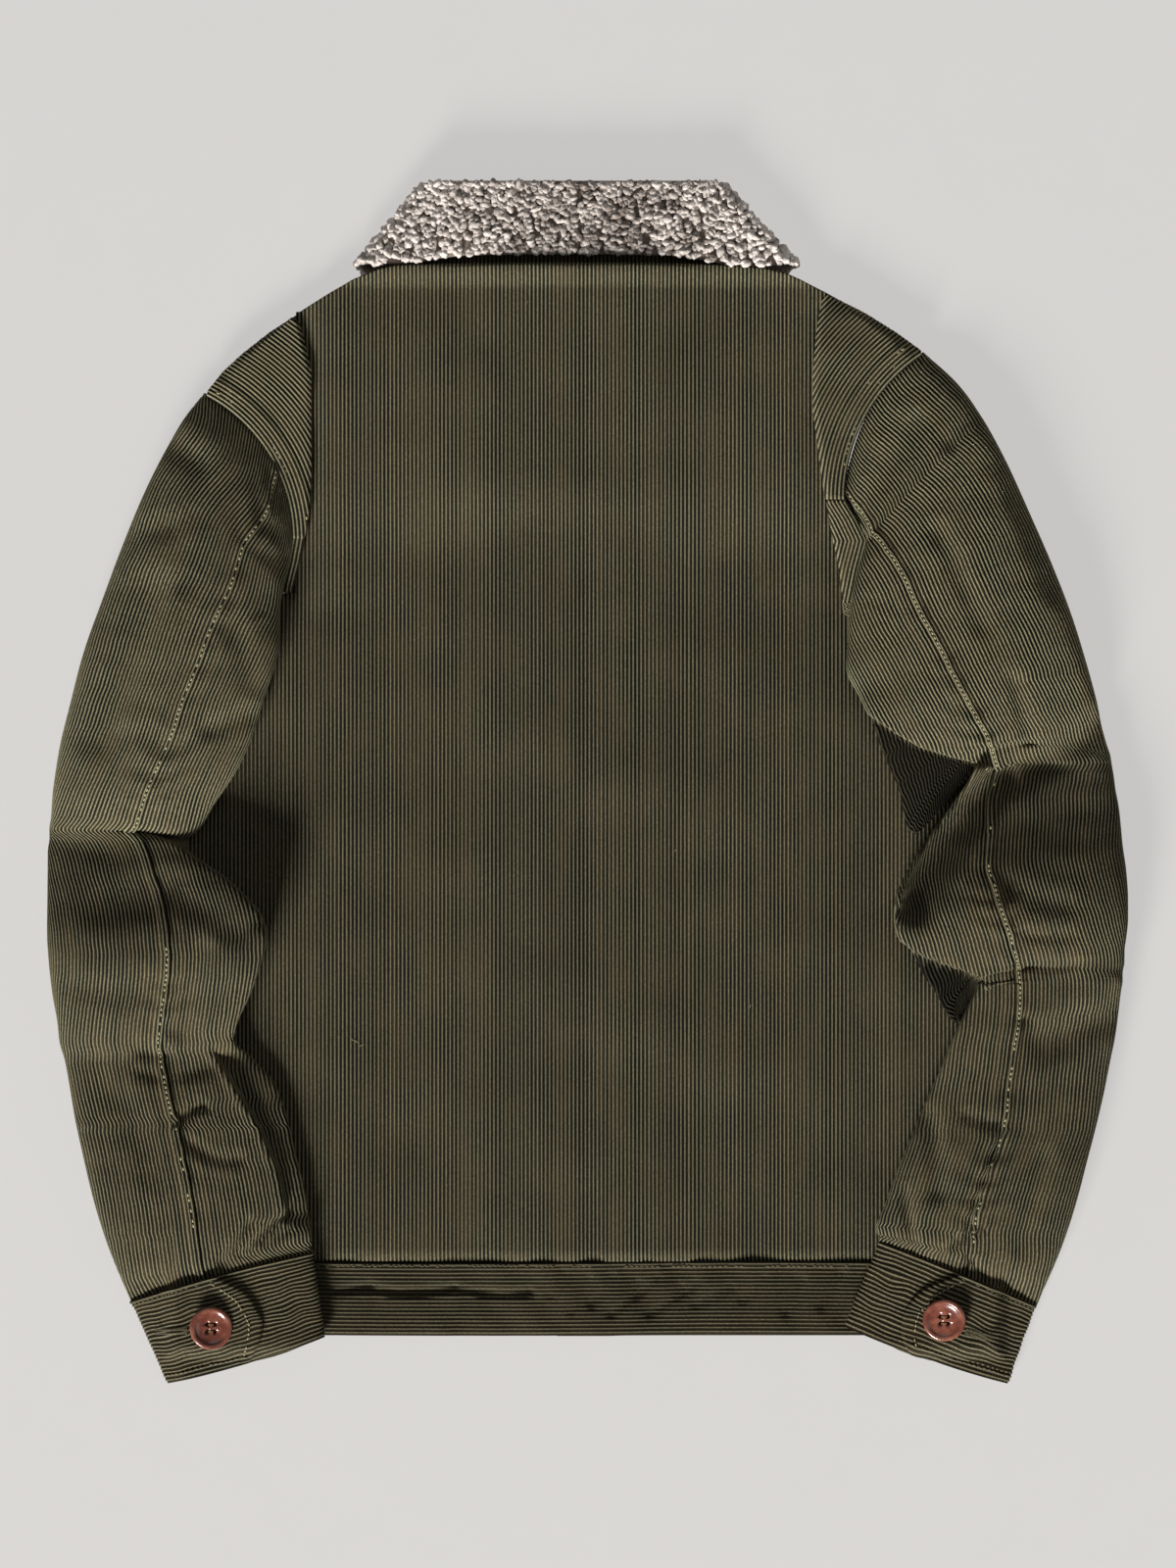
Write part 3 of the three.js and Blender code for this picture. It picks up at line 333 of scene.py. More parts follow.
def armhole(section, gap):
    s = np.linspace(0, 1, 30)
    x, y = section_point(np.array(section, float), s)
    inside = y < section.out_y - 0.5
    return [(b, a + gap) for a, b in zip(x[inside], y[inside])]


LEFT_EDGE = list(SHOULDER_LEFT) + armhole(LEFT_SECTIONS[0], ARMHOLE_GAP) + list(SIDE_LEFT[1:])
RIGHT_EDGE = list(SHOULDER_RIGHT) + armhole(RIGHT_SECTIONS[0], -ARMHOLE_GAP) + list(SIDE_RIGHT[1:])


def front_lift(x, y, spread=0.0):
    away = np.abs(x - CENTRE_X)
    sideways = 1 - ease(136 + spread, 172 + spread, away)
    collar = (FLEECE + 2 * SEAM) * ease(136 - spread, 186 - spread, y) * sideways
    return np.maximum(collar, FRONT_BUTTON_LIFT * (1 - ease(16 + spread, 60 + spread, away)))


def overlap_lift(x):
    return (LAYER + PANEL_GAP) * (1 - ease(OVERLAP_HALF + 3, OVERLAP_HALF + 15, x - CENTRE_X))


def flap_lift(x, y, soft=1.0):
    fade = ease(98, 128, y) * (1 - ease(272, 292, y))
    past = np.maximum(edge_at(CREASE_LEFT, y) - x, x - edge_at(CREASE_RIGHT, y))
    return fade * (CREASE_STEP * soft * ease(-1.5, 0.5, past)
                   + (SHOULDER_LOFT - CREASE_STEP) * ease(0, 46, past))


def back_under(x, y, soft=1.0):
    left, right = edge_at(LEFT_EDGE, y), edge_at(RIGHT_EDGE, y)
    away = np.clip(np.abs(x - (left + right) / 2) / ((right - left) / 2), 0, 1)
    crown = BODY_LOFT * (1 - away * away) * (1 - ease(230, 296, y))
    placket = (LAYER + PANEL_GAP) * (1 - ease(22, 80, np.abs(x - CENTRE_X)))
    return front_lift(x, y, 7) + WALL + PANEL_GAP + np.maximum(crown, placket) + flap_lift(x, y, soft)


def rest_height(x, y):
    low = np.maximum(y, HEM_EDGE)
    left, right = edge_at(LEFT_EDGE, low), edge_at(RIGHT_EDGE, low)
    beside = np.maximum.reduce([left - x, x - right, HEM_EDGE - y, np.zeros_like(x)])
    inside = np.minimum(np.maximum(x, left + 1), right - 1)
    return (back_under(inside, low) + WALL + REST_GAP) * (1 - ease(4, 15, beside))


print("back rises to", round(float(back_under(np.array(CENTRE_X), np.array(0.0)) + WALL), 1), "mm")

# %% [markdown]
# ## The look of corduroy
# Corduroy is a velvet cut in lines. Each wale is a round tuft of pile that catches light on its
# crest, and the ground weave between two wales stays dark. The pile scatters light at a grazing
# angle, so the cloth needs sheen as well as colour.
#
# The wale is a node group, because the body, bands and sleeves share it. It reads the cloth's
# own coordinates in metres: U across the wales and V along them.

# %% Node helpers and the wale group
def socket(group, name, kind, out=False, value=None):
    made = group.interface.new_socket(name=name, in_out="OUTPUT" if out else "INPUT",
                                      socket_type="NodeSocket" + kind)
    if value is not None:
        made.default_value = value


class Wires:
    """Adds nodes to a tree and links them, so that a shader reads from left to right."""

    def __init__(self, tree):
        self.tree = tree
        self.column = 0

    def node(self, kind, inputs=None, **settings):
        made = self.tree.nodes.new(kind)
        self.column += 1
        made.location = (self.column * 40, -(self.column % 9) * 120)
        for key, value in settings.items():
            setattr(made, key, value)
        for key, value in (inputs or {}).items():
            if isinstance(value, bpy.types.NodeSocket):
                self.tree.links.new(value, made.inputs[key])
            else:
                made.inputs[key].default_value = value
        return made

    def maths(self, operation, a, b=0.0, c=0.0, clamp=False):
        made = self.node("ShaderNodeMath", {0: a, 1: b, 2: c}, operation=operation)
        made.use_clamp = clamp
        return made.outputs[0]

    def blend(self, factor, a, b, how="MIX"):
        made = self.node("ShaderNodeMix", data_type="RGBA", blend_type=how)
        for slot, value in ((0, factor), (6, a), (7, b)):
            if isinstance(value, bpy.types.NodeSocket):
                self.tree.links.new(value, made.inputs[slot])
            else:
                made.inputs[slot].default_value = value
        return made.outputs[2]

    def soft(self, value, low, high, to_low=0.0, to_high=1.0):
        """A soft step from low to high; low may lie above high."""
        made = self.node("ShaderNodeMapRange",
                         {"Value": value, "From Min": low, "From Max": high,
                          "To Min": to_low, "To Max": to_high}, interpolation_type="SMOOTHSTEP")
        return made.outputs["Result"]

    def noise(self, place, scale, detail=2.0, roughness=0.5):
        made = self.node("ShaderNodeTexNoise",
                         {"Vector": place, "Scale": scale, "Detail": detail,
                          "Roughness": roughness})
        return made.outputs["Fac"]


def srgb(r, g, b):
    """Colour as a picture editor reads it, turned into the linear light that shaders use."""
    def line(c):
        c /= 255
        return c / 12.92 if c <= 0.04045 else ((c + 0.055) / 1.055) ** 2.4
    return (line(r), line(g), line(b), 1.0)


def new_group(name, inputs, outputs):
    group = bpy.data.node_groups.new(name, "ShaderNodeTree")
    for socket_name, kind, value in inputs:
        socket(group, socket_name, kind, value=value)
    for socket_name, kind in outputs:
        socket(group, socket_name, kind, out=True)
    wires = Wires(group)
    given = wires.node("NodeGroupInput").outputs
    result = wires.node("NodeGroupOutput")
    return group, wires, given, result


def new_material(name):
    material = bpy.data.materials.new(name)
    material.use_nodes = True
    material.node_tree.nodes.clear()
    return material, Wires(material.node_tree)


RUST_AMOUNT = 0.25


def wale_group():
    group, w, given, result = new_group(
        "wale",
        [("Cloth", "Vector", None), ("Crest", "Color", None), ("Valley", "Color", None),
         ("Rust", "Color", None), ("Dull From", "Float", 0.2), ("Dull To", "Float", 0.4),
         ("Dull", "Float", 0.3), ("Pile And Shade", "Float", 0.0)],
        [("Color", "Color"), ("Height", "Float")])
    parts = w.node("ShaderNodeSeparateXYZ", {0: given["Cloth"]}).outputs
    across = w.maths("DIVIDE", parts[0], WALE * MM)
    shifted = w.noise(given["Cloth"], 900.0, 2.0)
    wander = w.maths("MULTIPLY_ADD", shifted, 0.16, -0.08)
    phase = w.maths("FRACT", w.maths("ADD", across, wander))
    tri = w.maths("SUBTRACT", 1.0, w.maths("ABSOLUTE", w.maths("MULTIPLY_ADD", phase, 2.0, -1.0)))
    crest = w.soft(tri, 0.24, 0.94)
    dull = w.maths("MULTIPLY", w.soft(parts[1], given["Dull From"], given["Dull To"]),
                   given["Dull"])
    pale = w.maths("MULTIPLY", crest, w.maths("SUBTRACT", 1.0, dull))
    stretched = w.node("ShaderNodeMapping", {"Vector": given["Cloth"], "Scale": (1.0, 0.5, 1.0)})
    nap = w.noise(stretched.outputs[0], 1150.0, 3.0, 0.75)
    lone = w.node("ShaderNodeTexWhiteNoise", {"W": w.maths("FLOOR", across)},
                  noise_dimensions="1D").outputs["Value"]
    drift = w.noise(stretched.outputs[0], 45.0, 3.0, 0.6)
    wear_tone_and_highlight = w.noise(given["Cloth"], 14.0, 3.0, 0.5)
    tone = w.maths("MULTIPLY_ADD", nap, 2.2, -0.1)
    tone = w.maths("MULTIPLY", tone, w.maths("MULTIPLY_ADD", lone, 0.16, 0.92))
    tone = w.maths("MULTIPLY", tone, w.maths("MULTIPLY_ADD", wear_tone_and_highlight, 0.36, 0.82))
    # Painted shade, partly pressed pile: the cloth darkens by up to 0.84 where its attribute marks a
    # deep fold or the bulge below an elbow.
    tone = w.maths("MULTIPLY", tone, w.maths("MULTIPLY_ADD", given["Pile And Shade"], -0.84, 1.0))
    base = w.blend(pale, given["Valley"], given["Crest"])
    rust = w.maths("MULTIPLY", w.soft(w.maths("ADD", drift, w.maths("MULTIPLY", lone, 0.3)),
                                      0.52, 0.86), RUST_AMOUNT)
    base = w.blend(rust, base, given["Rust"])
    grey = w.node("ShaderNodeCombineColor", {0: tone, 1: tone, 2: tone}).outputs[0]
    colour = w.blend(1.0, base, grey, "MULTIPLY")
    height = w.maths("MULTIPLY_ADD", nap, 0.35, crest)
    for name, value in (("Color", colour), ("Height", height)):
        w.tree.links.new(value, result.inputs[name])
    return group


WALE_GROUP = wale_group()
print("wale group:", len(WALE_GROUP.nodes), "nodes")


# %% [markdown]
# ## Corduroy materials
# The same group makes four cloths. The sleeves are lit on the crest of the wale and show a
# strong rib, which fades a little down the arm. The back's ribs are quieter and a little browner;
# the quieter rib is painted light, for the low light that runs along the back's wales. The cuffs
# and the hem band lie with their wales across, and their darker colour is painted shade for
# that; the hem band's is darker again. Where a fold presses the pile or a slope turns from the
# light, an attribute darkens the cloth: partly pressed pile, partly painted shade. Sheen stands
# for the raised pile.

# %% Corduroy on the sleeves, the back and the bands
def cord_material(name, crest, valley, rust, bump, sheen, dull):
    material, w = new_material(name)
    place = w.node("ShaderNodeUVMap", uv_map="cloth").outputs[0]
    # This attribute carries painted shade as well as pressed pile.
    pile_and_shade = w.node("ShaderNodeAttribute", attribute_name="pile_and_shade").outputs["Fac"]
    cord = w.node("ShaderNodeGroup",
                  {"Cloth": place, "Crest": crest, "Valley": valley, "Rust": rust,
                   "Pile And Shade": pile_and_shade, "Dull From": dull[0], "Dull To": dull[1],
                   "Dull": dull[2]}, node_tree=WALE_GROUP)
    relief = w.node("ShaderNodeBump", {"Height": cord.outputs["Height"], "Strength": bump,
                                       "Distance": 0.0006})
    shader = w.node("ShaderNodeBsdfPrincipled",
                    {"Base Color": cord.outputs["Color"], "Roughness": 0.92,
                     "Normal": relief.outputs[0], "Sheen Weight": sheen, "Sheen Roughness": 0.45,
                     "Sheen Tint": srgb(196, 190, 160), "Specular IOR Level": 0.12})
    w.node("ShaderNodeOutputMaterial", {0: shader.outputs[0]})
    return material


SLEEVE_CORD = cord_material("sleeve_cord", srgb(150, 146, 116), srgb(12, 11, 6),
                            srgb(112, 92, 64), 0.9, 0.05, (0.2, 0.4, 0.34))
# Painted light: the back's quieter rib stands for the low light that runs along its wales.
BACK_CORD = cord_material("back_cord", srgb(134, 130, 103), srgb(22, 21, 13),
                          srgb(98, 82, 60), 0.9, 0.04, (0.3, 0.0, 0.24))
# Painted shade: the bands are darker for wales that lie across the light.
BAND_CORD = cord_material("band_cord", srgb(112, 107, 84), srgb(22, 20, 12),
                          srgb(88, 72, 50), 0.9, 0.04, (0.2, 0.4, 0.0))
# Painted shade: the flat hem band is darker again than the sloped cuffs.
HEM_CORD = cord_material("hem_cord", srgb(86, 82, 63), srgb(32, 30, 20),
                         srgb(76, 62, 44), 0.7, 0.03, (0.2, 0.4, 0.0))
print("corduroy:", [m.name for m in (SLEEVE_CORD, BACK_CORD, BAND_CORD, HEM_CORD)])

# %% [markdown]
# ## From a grid of points to a piece of cloth
# Each piece is a closed thin shell: a grid of points on its face, an inside that takes only one
# column of that grid for each wale, and a narrow wall round the edge. A mask leaves out cells,
# a wale at a time, so one grid can have any outline. Mesh code is used rather than a Solidify
# modifier, because the face carries ribs and the inside doesn't, and a plain inside needs a
# third of the triangles. The points can carry a darkening value, partly for pressed pile and
# partly painted shade.

# %% Cloth mesh builder
def grid_normals(points):
    along = np.gradient(points, axis=0)
    across = np.gradient(points, axis=1)
    normal = np.cross(across, along)
    normal /= np.maximum(np.linalg.norm(normal, axis=2, keepdims=True), 1e-9)
    return normal


def quad_halves(a, b, c, d):
    return [np.stack([a, b, c], 1), np.stack([a, c, d], 1)]


def cloth_piece(name, face, inside, cloth_uv, material, active=None, pile_and_shade=None):
    """A closed shell from two grids of points in millimetres, with the cloth's coordinates."""
    rows, columns = face.shape[:2]
    if active is None:
        active = np.ones((rows - 1, columns - 1), bool)
    starts = np.arange(0, columns - 1, PER_WALE)
    ends = np.minimum(starts + PER_WALE, columns - 1)
    coarse = np.stack([active[:, a:b].all(axis=1) for a, b in zip(starts, ends)], 1)
    block = np.arange(columns - 1) // PER_WALE
    active = coarse[:, block]
    number = np.arange(rows * columns).reshape(rows, columns)
    back = number + rows * columns
    # The face has two triangles to a cell, the inside two to a wale
    i, j = np.nonzero(active)
    faces = quad_halves(number[i, j], number[i + 1, j], number[i + 1, j + 1], number[i, j + 1])
    i, j = np.nonzero(coarse)
    a, b = starts[j], ends[j]
    faces += quad_halves(back[i, a], back[i, b], back[i + 1, b], back[i + 1, a])
    # Along the wales a wall is a plain strip
    around = np.pad(coarse, 1)
    above, below = around[:-2, 1:-1], around[2:, 1:-1]
    before, after = around[1:-1, :-2], around[1:-1, 2:]
    i, j = np.nonzero(coarse & ~before)
    a = starts[j]
    faces += quad_halves(number[i + 1, a], number[i, a], back[i, a], back[i + 1, a])
    i, j = np.nonzero(coarse & ~after)
    b = ends[j]
    faces += quad_halves(number[i, b], number[i + 1, b], back[i + 1, b], back[i, b])
    # Across them it is a fan, from one corner of the inside to all columns of the face
    i, j = np.nonzero(active & ~above[:, block])
    faces.append(np.stack([number[i, j], number[i, j + 1], back[i, starts[block[j]]]], 1))
    i, j = np.nonzero(coarse & ~above)
    faces.append(np.stack([number[i, ends[j]], back[i, ends[j]], back[i, starts[j]]], 1))
    i, j = np.nonzero(active & ~below[:, block])
    faces.append(np.stack([number[i + 1, j + 1], number[i + 1, j], back[i + 1, ends[block[j]]]], 1))
    i, j = np.nonzero(coarse & ~below)
    faces.append(np.stack([number[i + 1, starts[j]], back[i + 1, starts[j]], back[i + 1, ends[j]]], 1))
    faces = np.concatenate(faces)
    points = np.concatenate([face.reshape(-1, 3), inside.reshape(-1, 3)]) * MM
    points[:, 2] = np.maximum(points[:, 2], FLOOR_GAP * MM)
    used = np.unique(faces)
    renumber = np.zeros(len(points), int)
    renumber[used] = np.arange(len(used))
    faces = renumber[faces]
    # All triangles are turned over together where the first one looks inwards
    first_face = points[used][faces[0]]
    up = np.cross(first_face[1] - first_face[0], first_face[2] - first_face[0])
    thick = (face - inside)[tuple(np.argwhere(active)[0])]
    if np.dot(up, thick) < 0:
        faces = faces[:, ::-1]
    uv = np.concatenate([cloth_uv.reshape(-1, 2)] * 2)[used] * MM
    piece = mesh_piece(name, points[used], faces, material, uv)
    # The darkening value is partly pressed pile and partly painted shade.
    if pile_and_shade is not None:
        layer = piece.data.attributes.new("pile_and_shade", "FLOAT", "POINT")
        layer.data.foreach_set("value", np.concatenate([pile_and_shade.ravel()] * 2)[used])
    return piece


def mesh_piece(name, points, faces, material, uv=None, smooth=True):
    mesh = bpy.data.meshes.new(name)
    faces = np.asarray(faces)
    sides = faces.shape[1]
    mesh.vertices.add(len(points))
    mesh.vertices.foreach_set("co", np.ascontiguousarray(points, np.float32).ravel())
    mesh.loops.add(faces.size)
    mesh.loops.foreach_set("vertex_index", faces.astype(np.int32).ravel())
    mesh.polygons.add(len(faces))
    mesh.polygons.foreach_set("loop_start", np.arange(0, faces.size, sides, dtype=np.int32))
    mesh.polygons.foreach_set("use_smooth", np.full(len(faces), smooth))
    mesh.update(calc_edges=True)
    if uv is not None:
        layer = mesh.uv_layers.new(name="cloth")
        layer.data.foreach_set("uv", np.ascontiguousarray(uv[faces.ravel()], np.float32).ravel())
    mesh.validate()
    mesh.materials.append(material)
    piece = bpy.data.objects.new(name, mesh)
    bpy.context.scene.collection.objects.link(piece)
    print(name, len(points), "points")
    return piece


def settle(piece, node_names):
    """The piece rides with the jacket and stands for its solids."""
    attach(piece, "root")
    if node_names:
        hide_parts(*node_names)
    return piece


def wale_ribs(count, first=0):
    """Height of the ribs over columns or rows that are a third of a wale apart."""
    return RIB * np.where((np.arange(count) + first) % PER_WALE == 0, 0.0, 1.0)


# %% [markdown]
# ## The back
# The back is one piece from side to side. Its wales run straight down, so the columns of the
# grid are the wales. At each shoulder the cloth is folded over, and beyond that crease the wales
# swing round, parallel to the armhole. The main part, the two folded parts and the last of the
# folded cloth under each arm are made apart and joined into one piece.

# %% The main part of the back
def back_face(x, y):
    settled = back_under(x, y, soft=0.0) + WALL
    neck_roll = 10.0 * ease(305.4, 307.2, y) - 5.5 * ease(291, 304, y)
    crease = np.maximum(edge_at(CREASE_LEFT, y) - x, x - edge_at(CREASE_RIGHT, y))
    tuck = 1.4 * ease(-14, -1, crease) * ease(98, 128, y) * (1 - ease(272, 292, y))
    return settled - neck_roll - tuck + ripple(x, y, 1.5, 110, 5) + ripple(x, y, 0.5, 38, 6)


SIDE_TOP_Y, SIDE_ROWS, UNDERARM_Y = 60.0, 47, 112.0

# The upper edge of the main part, each pair an x and the height there
BACK_TOP = ((-172, 278), (-170, 278), (-152, 289), (-138, 297), (-130, 300), (-123, 303),
            (-113, 305), (-60, 306.5), (-8, 307), (40, 306.5), (84, 305), (106, 303), (118, 300),
            (125, 297), (141, 289), (152, 283))


def back_main():
    columns = np.arange(-238, 235, COLUMN)
    top_y = np.interp(columns, *zip(*BACK_TOP))
    low_rows = np.concatenate([np.linspace(HEM_SEAM + SEAM, SIDE_TOP_Y, SIDE_ROWS),
                               np.linspace(SIDE_TOP_Y, UNDERARM_Y, 9)[1:]])
    climb = np.concatenate([np.linspace(0, 0.9, 23)[1:], np.linspace(0.9, 1, 17)[1:]])
    high_rows = UNDERARM_Y + climb[:, None] * (top_y - UNDERARM_Y)
    y = np.concatenate([np.repeat(low_rows[:, None], len(columns), 1), high_rows])
    x = np.repeat(columns[None, :], len(y), 0)
    active = np.ones((len(y) - 1, len(columns) - 1), bool)
    under_sleeve = (columns[:-1] < -188) | (columns[1:] > 163)
    past_crease = (columns[:-1] < -173) | (columns[1:] > 152)
    active[SIDE_ROWS - 1:len(low_rows) - 1, under_sleeve] = False
    active[len(low_rows) - 1:, past_crease] = False
    z = back_face(x, y)
    first = int(round(columns[0] / COLUMN))
    ribs = wale_ribs(len(columns), first)
    face = np.stack([x, y, z + ribs], 2)
    inside = np.stack([x, y, z - CLOTH], 2)
    u = (np.arange(len(columns)) + first) * COLUMN
    cloth_uv = np.stack([np.repeat(u[None, :], len(y), 0), y], 2)
    return cloth_piece("back_main", face, inside, cloth_uv, BACK_CORD, active)


# %% [markdown]
# The folded shoulder is drawn in rings round a point beside the armhole, as its wales really
# lie. Each ring starts on the crease and ends on the shoulder's edge.

# %% The folded shoulders of the back
Flap = namedtuple("Flap", "centre_x centre_y radius sign crease edge")
LEFT_FLAP = Flap(-269, 144, 96 + ARMHOLE_GAP, 1, CREASE_LEFT, SHOULDER_LEFT)
RIGHT_FLAP = Flap(254.5, 167, 104 + ARMHOLE_GAP, -1, CREASE_RIGHT, SHOULDER_RIGHT)
FLAP_ROWS = 44


def beside_armhole(ring, lap):
    """The folded cloth laps over the sleeve's seam and dips at its very edge."""
    return lap * (1 - ease(9, 12, ring)) - 1.6 * (1 - ease(-2.4, -0.4, ring))


def shoulder_flap(name, flap):
    rings = np.arange(-3 * COLUMN, 78, COLUMN)
    turn = np.radians(np.linspace(0, 75, 400))
    grid = []
    for ring in rings:
        x = flap.centre_x + flap.sign * (flap.radius + ring) * np.cos(turn)
        y = flap.centre_y + (flap.radius + ring) * np.sin(turn)
        crease = flap.sign * (edge_at(flap.crease, y) - x)
        if flap.sign > 0:
            past_edge = edge_at(flap.edge, y) - x
        else:
            past_edge = x - edge_at(flap.edge, y)
        past_edge = np.where(y < 228, -1.0, past_edge)
        good = np.nonzero((crease > -0.2) & (past_edge < 0))[0]
        if len(good) < 12:
            break
        pick = np.linspace(good[0], good[-1], FLAP_ROWS)
        steps = np.arange(len(turn))
        grid.append(np.stack([np.interp(pick, steps, x), np.interp(pick, steps, y)], 1))
    grid = np.array(grid).transpose(1, 0, 2)
    x, y = grid[..., 0], grid[..., 1]
    past = np.abs(edge_at(flap.crease, y) - x)
    z = back_under(x, y) + WALL + ripple(x, y, 0.5, 40, 8)
    z = z + 1.2 - 2.6 * (1 - ease(0, 3.0, past)) + 1.0 * (1 - ease(3, 16, past))
    count = grid.shape[1]
    z = z + beside_armhole(rings[:count], 1.3)
    rows = np.arange(FLAP_ROWS)[:, None]
    z = z - 3.5 * ease(FLAP_ROWS - 6, FLAP_ROWS - 1, rows) ** 2
    ribs = wale_ribs(count)
    face = np.stack([x, y, z + ribs], 2)
    inside = np.stack([x, y, z - CLOTH], 2)
    cloth_uv = np.stack([np.repeat(rings[None, :count], FLAP_ROWS, 0),
                         np.repeat(rows * 3.0, count, 1)], 2)
    return cloth_piece(name, face, inside, cloth_uv, SLEEVE_CORD)


def underarm(name, crease, edge, top, bottom):
    """The last of the folded cloth, between the crease and the sleeve below the armhole."""
    count = 30
    y = np.linspace(bottom, top, 40)[:, None]
    start, end = edge_at(crease, y), edge_at(edge, y)
    ring = np.arange(-3, count - 3)[None, :] * COLUMN
    spare = 0.03 * (count - np.arange(count))[None, :]
    x = end + np.sign(start - end) * np.minimum(ring, np.maximum(np.abs(start - end), 2) - spare)
    y = np.repeat(y, count, 1)
    z = back_under(x, y) + WALL + 1.4
    z = z - 2.6 * (1 - ease(0, 3, np.abs(x - start))) * ease(98, 128, y)
    z = z + beside_armhole(ring, 0.8)
    ribs = wale_ribs(count)
    face = np.stack([x, y, z + ribs * 0.8], 2)
    inside = np.stack([x, y, z - CLOTH], 2)
    cloth_uv = np.stack([np.repeat(ring, 40, 0), y], 2)
    return cloth_piece(name, face, inside, cloth_uv, SLEEVE_CORD)


def join(pieces, name):
    with bpy.context.temp_override(active_object=pieces[0], selected_editable_objects=pieces,
                                   selected_objects=pieces):
        bpy.ops.object.join()
    pieces[0].name = name
    pieces[0].data.name = name
    return pieces[0]


back = join([back_main(),
             shoulder_flap("flap_left", LEFT_FLAP),
             shoulder_flap("flap_right", RIGHT_FLAP),
             underarm("underarm_left", CREASE_LEFT, LEFT_EDGE, 146, 112),
             underarm("underarm_right", CREASE_RIGHT, RIGHT_EDGE, 167, 88)], "back_cloth")
settle(back, ["back_panel"])
print("back:", len(back.data.polygons), "faces")


# %% [markdown]
# ## The fronts
# The fronts lie on the floor and only their edges can be seen, so they stay plain sheets with
# the same cloth. The left one is outermost and the right one steps over it at the middle.

# %% Fronts
def front_edge(side, y):
    rise = np.clip((y - FRONT_NECK_Y) / (NECK_TOP - FRONT_NECK_Y), 0, 1)
    neck = CENTRE_X + side * (OVERLAP_HALF - 9 + (NECK_HALF - 6 - OVERLAP_HALF + 9) * rise ** 0.75)
    taper = 1 - ease(FRONT_NECK_Y - 12, FRONT_NECK_Y, y)
    return neck + (CENTRE_X - side * OVERLAP_HALF - neck) * taper


def front_piece(name, side, top, bottom, material, across=False):
    y = np.linspace(bottom, top, 100 if top > 0 else 8)[:, None]
    t = np.linspace(0, 1, 90)[None, :]
    outer = edge_at(LEFT_EDGE if side < 0 else RIGHT_EDGE, y)
    inner = front_edge(side, y)
    x = outer + (inner - outer) * t
    y = np.repeat(y, 90, 1)
    z = front_lift(x, y) + (overlap_lift(x) if side > 0 else 0) + 0.2
    face = np.stack([x, y, z + WALL - 0.7], 2)
    under = np.stack([x, y, z], 2)
    cloth_uv = np.stack([y, x], 2) if across else np.stack([x, y], 2)
    return cloth_piece(name, face, under, cloth_uv, material)


front_left = settle(front_piece("front_left_cloth", -1, 296, HEM_SEAM + SEAM, BACK_CORD),
                    ["front_left_panel"])
front_right = settle(front_piece("front_right_cloth", 1, 296, HEM_SEAM + SEAM, BACK_CORD),
                     ["front_right_panel"])

# %% [markdown]
# ## The hem band
# The band's wales run across the body, so here the rows of the grid are the wales. Where it is
# sewn to the back the seam draws it into small slanted puckers, most of them right of the
# middle, and one long crease lies on the left.

# %% Hem band
Pucker = namedtuple("Pucker", "x y length lean wide deep")
HEM_PUCKERS = [Pucker(*row) for row in (
    (-150, -298.5, 44, 2, 5, 1.6), (-104, -299, 50, 1, 5, 1.7), (-56, -300, 44, -2, 5, 1.2),
    (-18, -296, 15, 60, 5, 0.7), (-4, -303, 22, 62, 5, 0.8), (8, -300, 20, 55, 5, 0.9),
    (22, -305, 24, 48, 5, 1.0), (34, -298, 18, 40, 5, 0.8), (46, -306, 24, 42, 5, 0.9),
    (58, -300, 16, 35, 4, 0.7), (74, -303, 22, 30, 5, 0.6), (98, -299, 18, 50, 5, 0.6),
    (122, -304, 20, 64, 6, 0.8), (144, -300, 22, 58, 6, 0.9), (-128, -312, 24, 70, 7, 0.5),
    (-74, -314, 20, 74, 7, 0.5))]


def pucker_fold(pucker):
    lean = math.radians(pucker.lean)
    dx, dy = math.cos(lean) * pucker.length / 2, math.sin(lean) * pucker.length / 2
    bend = pucker.length * 0.08
    return Fold(pucker.x - dx, pucker.y - dy, pucker.x + bend, pucker.y - bend,
                pucker.x + dx, pucker.y + dy, pucker.wide, pucker.deep)


def hem_back():
    y = np.arange(HEM_SEAM - SEAM, HEM_EDGE - 0.1, -COLUMN)[:, None]
    count = 240
    x = np.linspace(edge_at(LEFT_EDGE, HEM_EDGE) + 0.4, edge_at(RIGHT_EDGE, HEM_EDGE) - 0.4, count)
    x = np.repeat(x[None, :], len(y), 0)
    y = np.repeat(y, count, 1) + 0.5 * np.sin(x / 57)
    puckers = fold_depth(x, y, [pucker_fold(p) for p in HEM_PUCKERS])
    z = back_under(x, y, soft=0.0) + WALL - 2.2 * puckers
    z = z + ripple(x, y, 1.2, 30, 12)
    z = z + 1.2 * (1 - ease(HEM_SEAM - 1, HEM_SEAM - 4.5, y)) - 1.6 * ease(HEM_EDGE + 3, HEM_EDGE, y)
    face = np.stack([x, y, z + wale_ribs(len(y))[:, None]], 2)
    inside = np.stack([x, y, z - 2.2], 2)
    cloth_uv = np.stack([np.repeat(np.arange(len(y))[:, None] * COLUMN, count, 1), x], 2)
    return cloth_piece("hem_band_cloth", face, inside, cloth_uv, HEM_CORD)


hem = settle(hem_back(), ["hem_band_back"])
hem_left = settle(front_piece("hem_front_left_cloth", -1, HEM_SEAM, HEM_EDGE, BAND_CORD, True),
                  ["hem_band_front_left"])
hem_right = settle(front_piece("hem_front_right_cloth", 1, HEM_SEAM, HEM_EDGE, BAND_CORD, True),
                   ["hem_band_front_right"])


